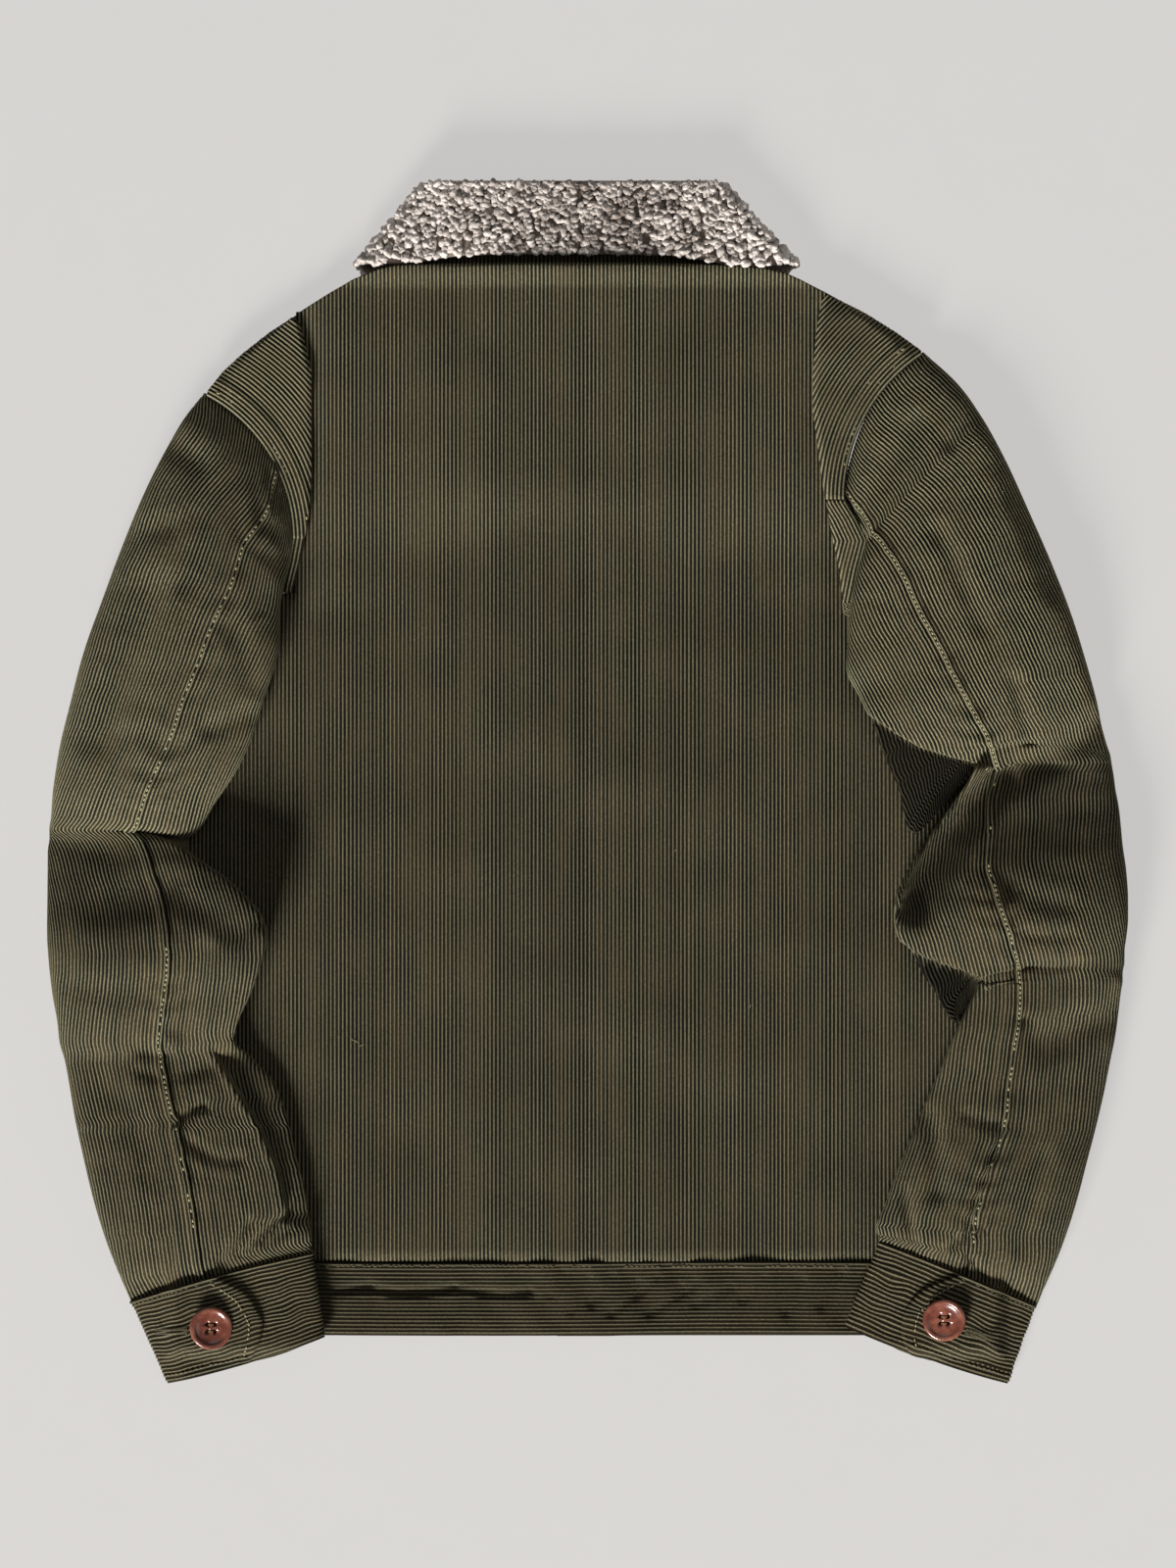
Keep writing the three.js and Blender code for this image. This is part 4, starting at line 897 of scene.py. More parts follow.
# %% [markdown]
# ## The sleeves
# Each sleeve is cut in two pieces that meet at the seam down the back of the arm. A wale keeps
# its distance from that seam, so the columns of the grid are placed by the length of cloth from
# the seam, and they run off over the edge of the arm as real wales do. The top sleeve laps over
# the under sleeve, which leaves a small ridge beside a dark line.

# %% Sleeve surfaces
ROW_STEP = 3.4
TOP_WIDTH, UNDER_WIDTH = 141.0, 112.8
SECOND_NOTCH = (23.9, 25.6)
SOFT_TOP, TOP_GIVE = 46.0, 2.6
CLOSE_FROM, CLOSE_TO, CUFF_WRAP = 1.4, 1.05, 2.2
# How much the upper part of the bulge below each elbow is darkened: painted shade for its slope away
# from the light.
BULGE_SHADE = 0.34
SLEEVE_POWER, SLEEVE_WAIST = 2.5, 0.42
TOP_POINTS = 60


def stations(sections, fine_from, fine_to):
    """Rows along the arm, close together where the inner edge doubles back or is notched."""
    table = np.array(sections, float)
    fine = np.linspace(0, len(table) - 1, 1600)
    columns = [glide(np.arange(len(table)), table[:, c], fine) for c in range(8)]
    fine_table = np.stack(columns, 1)
    move = np.diff(fine_table, axis=0)
    middle = np.hypot(move[:, 0] + move[:, 2], move[:, 1] + move[:, 3]) / 2
    inner = np.hypot(move[:, 2], move[:, 3])
    elbow = (fine[1:] > fine_from) & (fine[1:] < fine_to)
    notch = (fine[1:] > SECOND_NOTCH[0]) & (fine[1:] < SECOND_NOTCH[1])
    dense = np.where(elbow | notch, 2.0, 1.0)
    travel = np.concatenate([[0], np.cumsum(np.maximum(middle, 0.6 * inner) * dense)])
    order = np.arange(len(fine))
    picks = np.interp(np.arange(0, travel[-1], ROW_STEP), travel, order)
    picks = np.append(picks, len(fine) - 1)
    rows = np.stack([np.interp(picks, order, fine_table[:, c]) for c in range(8)], 1)
    down = np.concatenate([[0], np.cumsum(middle)])
    return rows, np.interp(picks, order, fine), np.interp(picks, order, down)


def seam_angle(rows):
    """The angle round each section at which the back seam crosses it."""
    s = np.linspace(0, 1, 400)
    x, _ = section_point(rows, s)
    sign = np.sign(rows[:, 2] - rows[:, 0])[:, None]
    share = ((x - rows[:, 6:7]) * sign < 0).sum(axis=1) / 400
    return np.arccos(1 - 2 * np.clip(share, 0.2, 0.965))


def sleeve_skin(rows, angle, on_top, settle_share, station, shape):
    """Places on the arm's surface, by row and by angle round the section."""
    s = (1 - np.cos(angle)) / 2
    x, y = section_point(rows, s)
    spread = rows.copy()
    spread[:, 2] = np.maximum(rows[:, 2], shape.least_in_x) if shape.least_in_x else rows[:, 2]
    low_x, low_y = section_point(spread, s)
    x, y = np.where(on_top, x, low_x), np.where(on_top, y, low_y)
    # In a bowed section the share of the width counts, so no step shows between two rows
    width = np.abs(rows[:, 2:3] - rows[:, 0:1])
    s = np.maximum(s, np.minimum(0.8, np.abs(x - rows[:, 0:1]) / width))
    knots = [row.station for row in shape.rim]
    inner_half = ease(0.45, 0.75, s)
    square = glide(knots, [row.square for row in shape.rim], station)[:, None]
    waist = glide(knots, [row.waist for row in shape.rim], station)[:, None]
    power = SLEEVE_POWER + (square - SLEEVE_POWER) * inner_half
    waist = SLEEVE_WAIST + (waist - SLEEVE_WAIST) * inner_half
    swell = (1 - np.abs(2 * s - 1) ** power) ** (1 / power)
    base = rest_height(x, y) * settle_share[:, None]
    knots = [row.station for row in shape.lift]
    inner = glide(knots, [row.inner for row in shape.lift], station)[:, None]
    high = (rows[:, 7] + glide(knots, [row.whole for row in shape.lift], station))[:, None]
    if shape.outer:
        sag = glide([row[0] for row in shape.outer], [row[1] for row in shape.outer], station)
        share = (ease(6, 8, station) * (1 - ease(26, 30, station)))[:, None]
        high = high + (sag[:, None] - high) * share * (1 - ease(0.1, 0.62, s))
    high = high + inner * ease(0.3, 0.85, s)
    high = high - fold_depth(x, y, shape.folds, station) + ripple(x, y, 0.9, 58, 21)
    high = high + ripple(x, y, 0.5, 27, 22)
    if shape.layered:
        high = high - forearm_layer(x, y)
    deep, tuck = over_lips(x, y, station, shape.drops)
    high, y = high - deep, y + tuck
    loft = np.maximum(high, base + 4.5) - base
    # At the wrist the sleeve narrows and runs in under its cuff
    count = len(shape.sections)
    closing = ease(count - CLOSE_FROM, count - CLOSE_TO, station)[:, None]
    loft = loft + (np.minimum(loft, CUFF_RISE - CUFF_WRAP) - loft) * closing
    x, y = x + shape.tail[0] * closing, y + shape.tail[1] * closing
    z = base + loft * np.where(on_top, waist + (1 - waist) * swell, waist * (1 - swell))
    z = np.where(z > SOFT_TOP, SOFT_TOP + TOP_GIVE * np.tanh((z - SOFT_TOP) / TOP_GIVE), z)
    return np.stack([x, y, z], 2)


def sleeve_piece(name, shape, outer_side):
    """One of the two pieces of a sleeve, laid out in wales from the back seam."""
    rows, index, down = stations(shape.sections, *shape.fine)
    settled = ease(shape.settle_from, shape.settle_from + 2, index)
    seam = seam_angle(rows)
    sign = -1 if outer_side else 1
    edge = 0.0 if outer_side else math.pi
    slit = sign * 0.5 * SEAM / np.hypot(rows[:, 2] - rows[:, 0], rows[:, 3] - rows[:, 1])
    start = seam + slit / np.sin(seam)
    hidden = np.minimum(seam - 0.35, 1.75) + sign * 0.004
    t = np.linspace(0, 1, TOP_POINTS)[None, :]
    over = start[:, None] + (edge - start[:, None]) * t
    below = edge + (hidden[:, None] - edge) * t[:, 1:]
    angle = np.concatenate([over, below], 1)
    on_top = np.arange(angle.shape[1]) < TOP_POINTS
    line = sleeve_skin(rows, angle, on_top[None, :], settled, index, shape)
    run = np.concatenate([np.zeros((len(rows), 1)),
                          np.cumsum(np.linalg.norm(np.diff(line, axis=1), axis=2), 1)], 1)
    width = TOP_WIDTH if outer_side else UNDER_WIDTH
    across = np.arange(0, width, COLUMN)
    grid = np.empty((len(rows), len(across), 3))
    for k in range(len(rows)):
        reach = min(run[k, TOP_POINTS - 1] + 8, run[k, -1] * 0.8, width * 0.85)
        beyond = reach + (across - reach) * (run[k, -1] - reach) / (width - reach)
        at = np.where(across < reach, across, beyond)
        for axis in range(3):
            grid[k, :, axis] = np.interp(at, run[k], line[k, :, axis])
    normal = grid_normals(grid)
    if np.median(normal[:, 4:20, 2]) < 0:
        normal = -normal
    along = down[:, None]
    pucker = 0.3 * np.sin(along / 3.1 + 2 * np.sin(along / 17)) * (1 - ease(0, 9, across))
    drawn = ease(-0.2, 0.8, np.sin(along / 29 + 1.3)) * (1 - ease(4, 26, across))
    pucker = pucker + 0.7 * drawn * np.sin(along / 2.4 + across / 6 + 1.5 * np.sin(along / 11))
    if outer_side:
        lap = 1.3 * (1 - ease(4.5, 6.5, across)) - 0.5 * (1 - ease(0, 0.9, across))
    else:
        lap = -0.5 * (1 - ease(0.5, 3.5, across))
    rise = wale_ribs(len(across))[None, :] + lap + pucker
    face = grid + normal * rise[..., None]
    inside = grid - normal * CLOTH
    cloth_uv = np.stack([np.repeat(across[None, :], len(rows), 0),
                         np.repeat(along, len(across), 1)], 2)
    # Painted shade, partly pressed pile: cloth lying low under a lip, and the upper part of the bulge
    # below each elbow, are marked to be darkened, standing in for shadow that the light here does not
    # cast.
    deep, _ = over_lips(grid[..., 0], grid[..., 1], index, shape.drops)
    bulge_shade = BULGE_SHADE * ease(11.9, 12.4, index) * (1 - ease(15.5, 20, index))
    pile_and_shade = np.maximum(ease(1, 14, deep), bulge_shade[:, None])
    piece = cloth_piece(name, face, inside, cloth_uv, SLEEVE_CORD, pile_and_shade=pile_and_shade)
    return piece, face, normal, index


SleeveShape = namedtuple("SleeveShape", "sections folds lift rim drops fine settle_from "
                                        "least_in_x layered outer tail")
SLEEVE_SHAPES = {
    "left": SleeveShape(LEFT_SECTIONS, LEFT_FOLDS, LEFT_LIFT, LEFT_RIM, (), (10.8, 12.2), 1,
                        -237.0, True, (), (1.2, -3.0)),
    "right": SleeveShape(RIGHT_SECTIONS, RIGHT_FOLDS, RIGHT_LIFT, RIGHT_RIM, RIGHT_DROPS,
                         (7.4, 11.9), 2, None, False, RIGHT_OUTER, (-0.9, -3.1))}
SLEEVES = {}
for side, shape in SLEEVE_SHAPES.items():
    for part, outer_side in (("top", True), ("under", False)):
        made = sleeve_piece(f"sleeve_{side}_{part}_cloth", shape, outer_side)
        settle(made[0], [f"sleeve_{side}_{part}"])
        SLEEVES[side, part] = made
print("sleeves:", {key: len(value[0].data.polygons) for key, value in SLEEVES.items()})

# %% [markdown]
# ## The cuffs
# A cuff is one band that goes round the wrist and ends in a round tab, which lies over the
# other end and takes the button. Its wales run round the wrist, so the rows of the grid are the
# wales. The tab stands TAB_LIFT higher than the end below it, which gives it a shadow.

# %% Cuffs
Cuff = namedtuple("Cuff", "out_top in_top out_low in_low bow_top bow_low button reach under")
CUFFS = {
    "left": Cuff((-269.6, -306.3), (-162.6, -277.4), (-248, -355), (-155, -327), (0, 2), (0, -2),
                 (-222, -321), (0.47, 0.58, 0.64, 0.66, 0.62, 0.53), 0.22),
    "right": Cuff((264.5, -308.9), (172.8, -270.9), (248, -355), (152, -321), (0, 1), (0, -2),
                  (210, -316), (0.48, 0.61, 0.69, 0.72, 0.7, 0.62), 0.24),
}


def cuff_skin(cuff, share, angle, kind):
    corners = [cuff.out_top + cuff.in_top + cuff.bow_top, cuff.out_low + cuff.in_low + cuff.bow_low]
    top, low = (np.array(c, float) for c in corners)
    row = top + (low - top) * share
    s = (1 - np.cos(angle)) / 2
    x, y = section_point(row, s)
    swell = (1 - np.abs(2 * s - 1) ** 3) ** (1 / 3)
    base = rest_height(x, y)
    tab_rise = CUFF_RISE + TAB_LIFT * (0 if kind == "under" else ease(0.02, 0.14, s))
    high = base + tab_rise * (0.4 + 0.6 * swell)
    low_side = base + CUFF_RISE * 0.4 * (1 - swell)
    return np.stack([x, y, low_side if kind == "below" else high], 1)


def cuff_piece(side, cuff):
    height = math.hypot(cuff.out_low[0] - cuff.out_top[0], cuff.out_low[1] - cuff.out_top[1])
    count = int(height / COLUMN)
    under_angle = math.acos(1 - 2 * cuff.under)
    grid = []
    for share in np.linspace(0, 1, count):
        reach = glide(np.linspace(0, 1, 6), cuff.reach, np.array([share]))[0]
        tab_angle = math.acos(1 - 2 * reach)
        line = np.concatenate([
            cuff_skin(cuff, share, np.linspace(tab_angle, 0, 46)[:-1], "tab"),
            cuff_skin(cuff, share, np.linspace(0, math.pi, 50)[:-1], "below"),
            cuff_skin(cuff, share, np.linspace(math.pi, under_angle, 50), "under")])
        grid.append(line)
    grid = np.array(grid)
    inland = np.sin(np.linspace(0, math.pi, count))[:, None]
    grid[..., 1] += inland * (ripple(grid[..., 0], grid[..., 1], 1.5, 24, 33)
                              + 0.5 * np.sin(grid[..., 0] / 5.2 + grid[..., 1] / 30))
    normal = grid_normals(grid)
    if normal[count // 2, 4, 2] < 0:
        normal = -normal
    x, y = grid[..., 0], grid[..., 1]
    top_side = normal[..., 2:3] > 0.2
    wobble = ripple(x, y, 0.7, 22, 31)[..., None] * top_side
    rim = 0.7 * (1 - ease(0, 3, np.arange(count) * COLUMN)) \
        - 0.5 * ease(height - 2.4, height, np.arange(count) * COLUMN)
    column = np.arange(grid.shape[1])
    tab_end = 0.7 * (1 - ease(3, 6, column)) - 1.2 * (1 - ease(0, 0.9, column))
    rise = wale_ribs(count)[:, None] * 0.9 + rim[:, None] + tab_end[None, :]
    face = grid + normal * (rise[..., None] + wobble)
    inside = grid - normal * 2.0
    run = np.concatenate([[0], np.cumsum(np.linalg.norm(np.diff(grid[count // 2], axis=0), axis=1))])
    cloth_uv = np.stack([np.repeat(np.arange(count)[:, None] * COLUMN, len(run), 1),
                         np.repeat(run[None, :], count, 0)], 2)
    piece = cloth_piece(f"cuff_{side}_cloth", face, inside, cloth_uv, BAND_CORD)
    settle(piece, [f"cuff_{side}"])
    return piece, face


CUFF_PIECES = {side: cuff_piece(side, cuff) for side, cuff in CUFFS.items()}


# %% [markdown]
# ## The collar
# The collar turns down over its stand. Its stand is plain cloth that shows only as a dark line
# at the neck. The leaf is faced with fleece, a knit with a pile of small curls. Its ground is
# darker than its curls, because little light gets down between them.

# %% Fleece materials
def fleece_material(name, dark, light, scale):
    material, w = new_material(name)
    place = w.node("ShaderNodeTexCoord").outputs["Object"]
    patch = w.noise(place, 70.0, 3.0, 0.6)
    # Painted highlight: the fleece is lighter towards both ends of the collar, where it catches more
    # light.
    side = w.maths("ABSOLUTE", w.node("ShaderNodeSeparateXYZ", {0: place}).outputs[0])
    wear_tone_and_highlight = w.soft(side, 0.03, 0.11, 0.0, 0.1)
    curl = w.noise(place, scale, 4.0, 0.7)
    hair = w.noise(place, scale * 4, 3.0, 0.7)
    mix = w.maths("MULTIPLY_ADD", curl, 0.55, w.maths("MULTIPLY_ADD", patch, 0.45, wear_tone_and_highlight))
    colour = w.blend(w.soft(mix, 0.36, 0.68), dark, light)
    relief = w.node("ShaderNodeBump", {"Height": w.maths("ADD", curl, w.maths("MULTIPLY", hair, 0.5)),
                                       "Strength": 0.5, "Distance": 0.0009})
    shader = w.node("ShaderNodeBsdfPrincipled",
                    {"Base Color": colour, "Roughness": 0.95, "Normal": relief.outputs[0],
                     "Sheen Weight": 0.35, "Sheen Roughness": 0.6,
                     "Sheen Tint": srgb(225, 216, 206), "Specular IOR Level": 0.1})
    w.node("ShaderNodeOutputMaterial", {0: shader.outputs[0]})
    return material


FLEECE_GROUND = fleece_material("fleece_ground", srgb(104, 92, 82), srgb(150, 136, 126), 500.0)
FLEECE_CURL = fleece_material("fleece_curl", srgb(114, 101, 92), srgb(240, 230, 222), 300.0)


# %% [markdown]
# The leaf and the stand both follow the line where the collar rolls over. At the back of the
# neck the leaf is turned over the stand, and towards the fronts it turns flat.

# %% Collar leaf and stand
LEAF_ROWS, LEAF_COLUMNS = 150, 30


def collar_rows(count):
    table = np.array(COLLAR, float)
    length = np.concatenate([[0], np.cumsum(np.hypot(*np.diff(table[:, :2], axis=0).T) + 1.5)])
    at = np.linspace(0, length[-1], count)
    return np.stack([glide(length, table[:, c], at) for c in range(7)], 1), at


def collar_strip(rows, columns, to_x, low, high, thick):
    t = np.linspace(0, 1, columns)[None, :]
    x = rows[:, 0:1] + (rows[:, to_x:to_x + 1] - rows[:, 0:1]) * t
    y = rows[:, 1:2] + (rows[:, to_x + 1:to_x + 2] - rows[:, 1:2]) * t
    turned = rows[:, 6:7]
    facing, around = np.cos(math.pi * turned), np.sin(math.pi * turned)
    middle, reach = (low + high + thick) / 2, (high + thick - low) / 2
    shift = thick * around * np.sign(rows[:, 0:1] - CENTRE_X) / 2
    outer = np.stack([x + shift, y, np.broadcast_to(middle - reach * facing, x.shape)], 2)
    inner = np.stack([x - shift, y, np.broadcast_to(middle - (reach - thick) * facing, x.shape)], 2)
    return outer, inner


def leaf_piece():
    rows, run = collar_rows(LEAF_ROWS)
    top = FLEECE + 2 * SEAM + 2 * LAYER
    outer, inner = collar_strip(rows, LEAF_COLUMNS, 2, 0.0, top, FLEECE)
    ground = inner + (outer - inner) * 0.45
    down = np.linspace(0, 62, LEAF_COLUMNS)[None]
    cloth_uv = np.stack([np.repeat(run[:, None], LEAF_COLUMNS, 1),
                         np.repeat(down, LEAF_ROWS, 0)], 2)
    piece = cloth_piece("collar_leaf_ground", ground, inner, cloth_uv, FLEECE_GROUND)
    return piece, ground, outer, rows


def stand_piece():
    table = np.array([row for row in COLLAR if row.side == 1], float)
    at = np.linspace(0, 4, 80)
    rows = np.stack([np.interp(at, np.arange(5), table[:, c]) for c in range(7)], 1)
    low = FLEECE + SEAM
    outer, inner = collar_strip(rows, 24, 4, low, low + LAYER, WALL)
    sink = 5.0 * ease(354, 345, outer[..., 1])
    outer[..., 2] -= sink
    inner[..., 2] -= sink
    cloth_uv = outer[..., [0, 1]]
    return cloth_piece("collar_stand_cloth", outer, inner, cloth_uv, BAND_CORD)


leaf, leaf_ground, leaf_outer, leaf_rows = leaf_piece()
settle(leaf, ["collar_leaf"])
stand = settle(stand_piece(), ["collar_stand"])


# %% [markdown]
# Fur of real hair would not survive as a mesh. So each curl is a small uneven lump, and
# thousands of them, each with its own size and turn, give the pebbled face and the broken edge.
# The lumps under the fronts, which hardly show, are fewer and simpler.

# %% Curls of the fleece
def lump_shape(levels):
    """Points and triangles of a ball made from an octahedron."""
    points = [(1, 0, 0), (-1, 0, 0), (0, 1, 0), (0, -1, 0), (0, 0, 1), (0, 0, -1)]
    faces = [(0, 2, 4), (2, 1, 4), (1, 3, 4), (3, 0, 4), (2, 0, 5), (1, 2, 5), (3, 1, 5), (0, 3, 5)]
    for _ in range(levels):
        halves, finer = {}, []
        for face in faces:
            mids = []
            for a, b in ((0, 1), (1, 2), (2, 0)):
                key = tuple(sorted((face[a], face[b])))
                if key not in halves:
                    halves[key] = len(points)
                    points.append(tuple((p + q) / 2 for p, q in zip(points[key[0]], points[key[1]])))
                mids.append(halves[key])
            finer += [(face[0], mids[0], mids[2]), (mids[0], face[1], mids[1]),
                      (mids[2], mids[1], face[2]), tuple(mids)]
        faces = finer
    ball = np.array(points, float)
    return ball / np.linalg.norm(ball, axis=1, keepdims=True), np.array(faces)


def curls(name, centres, normals, levels, size):
    ball, faces = lump_shape(levels)
    count = len(centres)
    draw = np.random.default_rng(count)
    lean = normals + draw.normal(0, 0.35, (count, 3))
    lean /= np.linalg.norm(lean, axis=1, keepdims=True)
    side = np.cross(lean, draw.normal(0, 1, (count, 3)))
    side /= np.linalg.norm(side, axis=1, keepdims=True)
    third = np.cross(lean, side)
    scale = size * draw.uniform(0.75, 1.3, (count, 1))
    tall, long, wide = scale * draw.uniform(0.75, 1.2, (count, 1)), scale * 1.2, scale * 0.85
    bumps = 1 + 0.22 * np.sin(ball @ draw.normal(0, 3.2, (3, count)) + draw.uniform(0, 6, count))
    shape = ball[None, :, :] * bumps.T[:, :, None]
    points = (centres[:, None, :] + shape[..., 0:1] * (side * long)[:, None, :]
              + shape[..., 1:2] * (third * wide)[:, None, :]
              + shape[..., 2:3] * (lean * tall)[:, None, :])
    points[..., 2] = np.maximum(points[..., 2], FLOOR_GAP)
    all_faces = (faces[None] + (np.arange(count) * len(ball))[:, None, None]).reshape(-1, 3)
    return mesh_piece(name, points.reshape(-1, 3) * MM, all_faces, FLEECE_CURL)


def leaf_curls():
    draw = np.random.default_rng(4)
    away = leaf_outer - leaf_ground
    away /= np.linalg.norm(away, axis=2, keepdims=True)
    above = leaf_rows[:, 6] > 0.15
    last = LEAF_COLUMNS - 1
    made = []
    for name, keep, spacing, levels, size in (("fleece_curls_back", above, 2.8, 2, 2.0),
                                              ("fleece_curls_front", ~above, 3.8, 1, 2.4)):
        index = np.nonzero(keep)[0]
        step_along = np.linalg.norm(np.diff(leaf_ground[:, 0], axis=0), axis=1).mean() + 0.4
        centres, normals = [], []
        along = 0.0
        while along < len(index) - 1:
            k = index[int(along)]
            width = np.linalg.norm(leaf_outer[k, -1] - leaf_outer[k, 0])
            count = int(width / spacing)
            at = (np.arange(count) + draw.uniform(0, 1, count)) / count * last
            at = np.clip(at, last * 2.0 / width, last * (1 - 1.2 / width))
            row = np.clip(k + draw.uniform(-0.8, 0.8, count), 0, len(leaf_rows) - 1.01)
            i, j = row.astype(int), at.astype(int)
            fi, fj = (row - i)[:, None], (at - j)[:, None]
            spot = sum(weight * leaf_ground[i + a, j + b] for a, b, weight in (
                (0, 0, (1 - fi) * (1 - fj)), (1, 0, fi * (1 - fj)),
                (0, 1, (1 - fi) * fj), (1, 1, fi * fj)))
            up = away[i, j]
            centres.append(spot + up * draw.uniform(0.8, 2.0, (count, 1)))
            normals.append(up)
            along += spacing / step_along
        made.append(curls(name, np.concatenate(centres), np.concatenate(normals), levels, size))
    return made


CURLS = leaf_curls()
for piece in CURLS:
    settle(piece, [])
print("curls:", [len(piece.data.polygons) for piece in CURLS])

# %% [markdown]
# ## Buttons
# Each cuff closes with a reddish brown button, polished, with a raised rim and four holes. A
# turned profile gives the rim and dish, and a boolean cut makes real holes. Thin cords of
# thread cross between the holes.

# %% Button materials and shape
def button_material():
    material, w = new_material("button_brown")
    place = w.node("ShaderNodeTexCoord").outputs["Object"]
    cloud = w.noise(place, 160.0, 4.0, 0.6)
    colour = w.blend(w.soft(cloud, 0.35, 0.7), srgb(104, 54, 42), srgb(138, 84, 66))
    scratch = w.noise(place, 900.0, 3.0, 0.7)
    relief = w.node("ShaderNodeBump", {"Height": scratch, "Strength": 0.06, "Distance": 0.0004})
    shader = w.node("ShaderNodeBsdfPrincipled",
                    {"Base Color": colour, "Roughness": w.soft(scratch, 0.3, 0.8, 0.18, 0.34),
                     "Normal": relief.outputs[0], "Coat Weight": 0.4, "Coat Roughness": 0.12})
    w.node("ShaderNodeOutputMaterial", {0: shader.outputs[0]})
    return material


def thread_material(name, light, dark):
    material, w = new_material(name)
    place = w.node("ShaderNodeTexCoord").outputs["Object"]
    twist = w.node("ShaderNodeTexWave", {"Vector": place, "Scale": 420.0, "Distortion": 1.0})
    colour = w.blend(twist.outputs["Fac"], dark, light)
    relief = w.node("ShaderNodeBump", {"Height": twist.outputs["Fac"], "Strength": 0.4,
                                       "Distance": 0.0002})
    shader = w.node("ShaderNodeBsdfPrincipled",
                    {"Base Color": colour, "Roughness": 0.7, "Normal": relief.outputs[0],
                     "Specular IOR Level": 0.3})
    w.node("ShaderNodeOutputMaterial", {0: shader.outputs[0]})
    return material


BUTTON_BROWN = button_material()
CREAM_THREAD = thread_material("cream_thread", srgb(186, 178, 140), srgb(140, 132, 98))
OLIVE_THREAD = thread_material("olive_thread", srgb(122, 115, 88), srgb(74, 68, 50))
GOLD_THREAD = thread_material("gold_thread", srgb(150, 108, 62), srgb(92, 60, 36))


def turned(name, profile, sides, material):
    turn = np.linspace(0, 2 * math.pi, sides, endpoint=False)
    rings = [[(r * math.cos(a), r * math.sin(a), h) for a in turn] for r, h in profile[1:-1]]
    points = [(0, 0, profile[0][1])] + [p for ring in rings for p in ring] + [(0, 0, profile[-1][1])]
    faces = []
    for k in range(sides):
        n = (k + 1) % sides
        faces.append((0, 1 + n, 1 + k))
        for ring in range(len(rings) - 1):
            a, b = 1 + ring * sides, 1 + (ring + 1) * sides
            faces += [(a + k, a + n, b + n), (a + k, b + n, b + k)]
        last = 1 + (len(rings) - 1) * sides
        faces.append((len(points) - 1, last + k, last + n))
    return mesh_piece(name, np.array(points) * MM, np.array(faces), material)


BUTTON_PROFILE = ((0, 0.0), (8.6, 0.0), (11.6, 0.7), (12.5, 1.7), (12.7, 2.5), (12.5, 3.3),
                  (11.9, 3.85), (11.0, 4.0), (10.2, 3.8), (9.5, 3.2), (8.8, 2.75), (6.0, 2.55),
                  (0, 2.5))


HOLE_OFFSET = 2.9 / math.sqrt(2)


def button(name):
    piece = turned(name, BUTTON_PROFILE, 72, BUTTON_BROWN)
    cutters = []
    for sx, sy in ((1, 1), (1, -1), (-1, 1), (-1, -1)):
        pin = turned("pin", ((0, -3.0), (1.3, -3.0), (1.3, 8.0), (0, 8.0)), 20, BUTTON_BROWN)
        pin.location = (sx * HOLE_OFFSET * MM, sy * HOLE_OFFSET * MM, 0)
        cut = piece.modifiers.new("hole", "BOOLEAN")
        cut.operation, cut.solver, cut.object = "DIFFERENCE", "EXACT", pin
        cutters.append(pin)
    bpy.context.view_layer.update()
    cut_piece = piece.evaluated_get(bpy.context.evaluated_depsgraph_get())
    shaped = bpy.data.meshes.new_from_object(cut_piece)
    piece.modifiers.clear()
    piece.data = shaped
    for cutter in cutters:
        bpy.data.objects.remove(cutter)
    return piece


def cord_between(points, radius, sides=6):
    """Points and faces of a thin closed tube along a few points, in millimetres."""
    points = np.asarray(points, float)
    tangent = np.gradient(points, axis=0)
    tangent /= np.linalg.norm(tangent, axis=1, keepdims=True)
    helper = np.where(np.abs(tangent[:, 2:3]) > 0.9, (1.0, 0, 0), (0, 0, 1.0))
    side = np.cross(tangent, helper)
    side /= np.linalg.norm(side, axis=1, keepdims=True)
    third = np.cross(tangent, side)
    turn = np.linspace(0, 2 * math.pi, sides, endpoint=False)
    taper = np.ones(len(points))
    taper[[0, -1]] = 0.35
    ring = points[:, None] + (radius * taper)[:, None, None] * (
        np.cos(turn)[None, :, None] * side[:, None] + np.sin(turn)[None, :, None] * third[:, None])
    verts = np.concatenate([ring.reshape(-1, 3), points[[0, -1]]])
    faces = []
    end_a, end_b = len(verts) - 2, len(verts) - 1
    for k in range(sides):
        n = (k + 1) % sides
        faces.append((end_a, n, k))
        for i in range(len(points) - 1):
            a, b = i * sides, (i + 1) * sides
            faces += [(a + k, a + n, b + n), (a + k, b + n, b + k)]
        last = (len(points) - 1) * sides
        faces.append((end_b, last + k, last + n))
    return verts, np.array(faces)


def many_cords(name, paths, radius, material):
    verts, faces, count = [], [], 0
    for path in paths:
        v, f = cord_between(path, radius)
        verts.append(v)
        faces.append(f + count)
        count += len(v)
    return mesh_piece(name, np.concatenate(verts) * MM, np.concatenate(faces), material)


# %% [markdown]
# Each button sits on its tab and is tipped a little, as its thread pulls it. The tip is worked
# into its points, so the piece itself stays unturned.

# %% Cuff buttons on their tabs
Tilt = namedtuple("Tilt", "x y")
BUTTON_TILT = {"left": Tilt(3, 11), "right": Tilt(10, -3)}


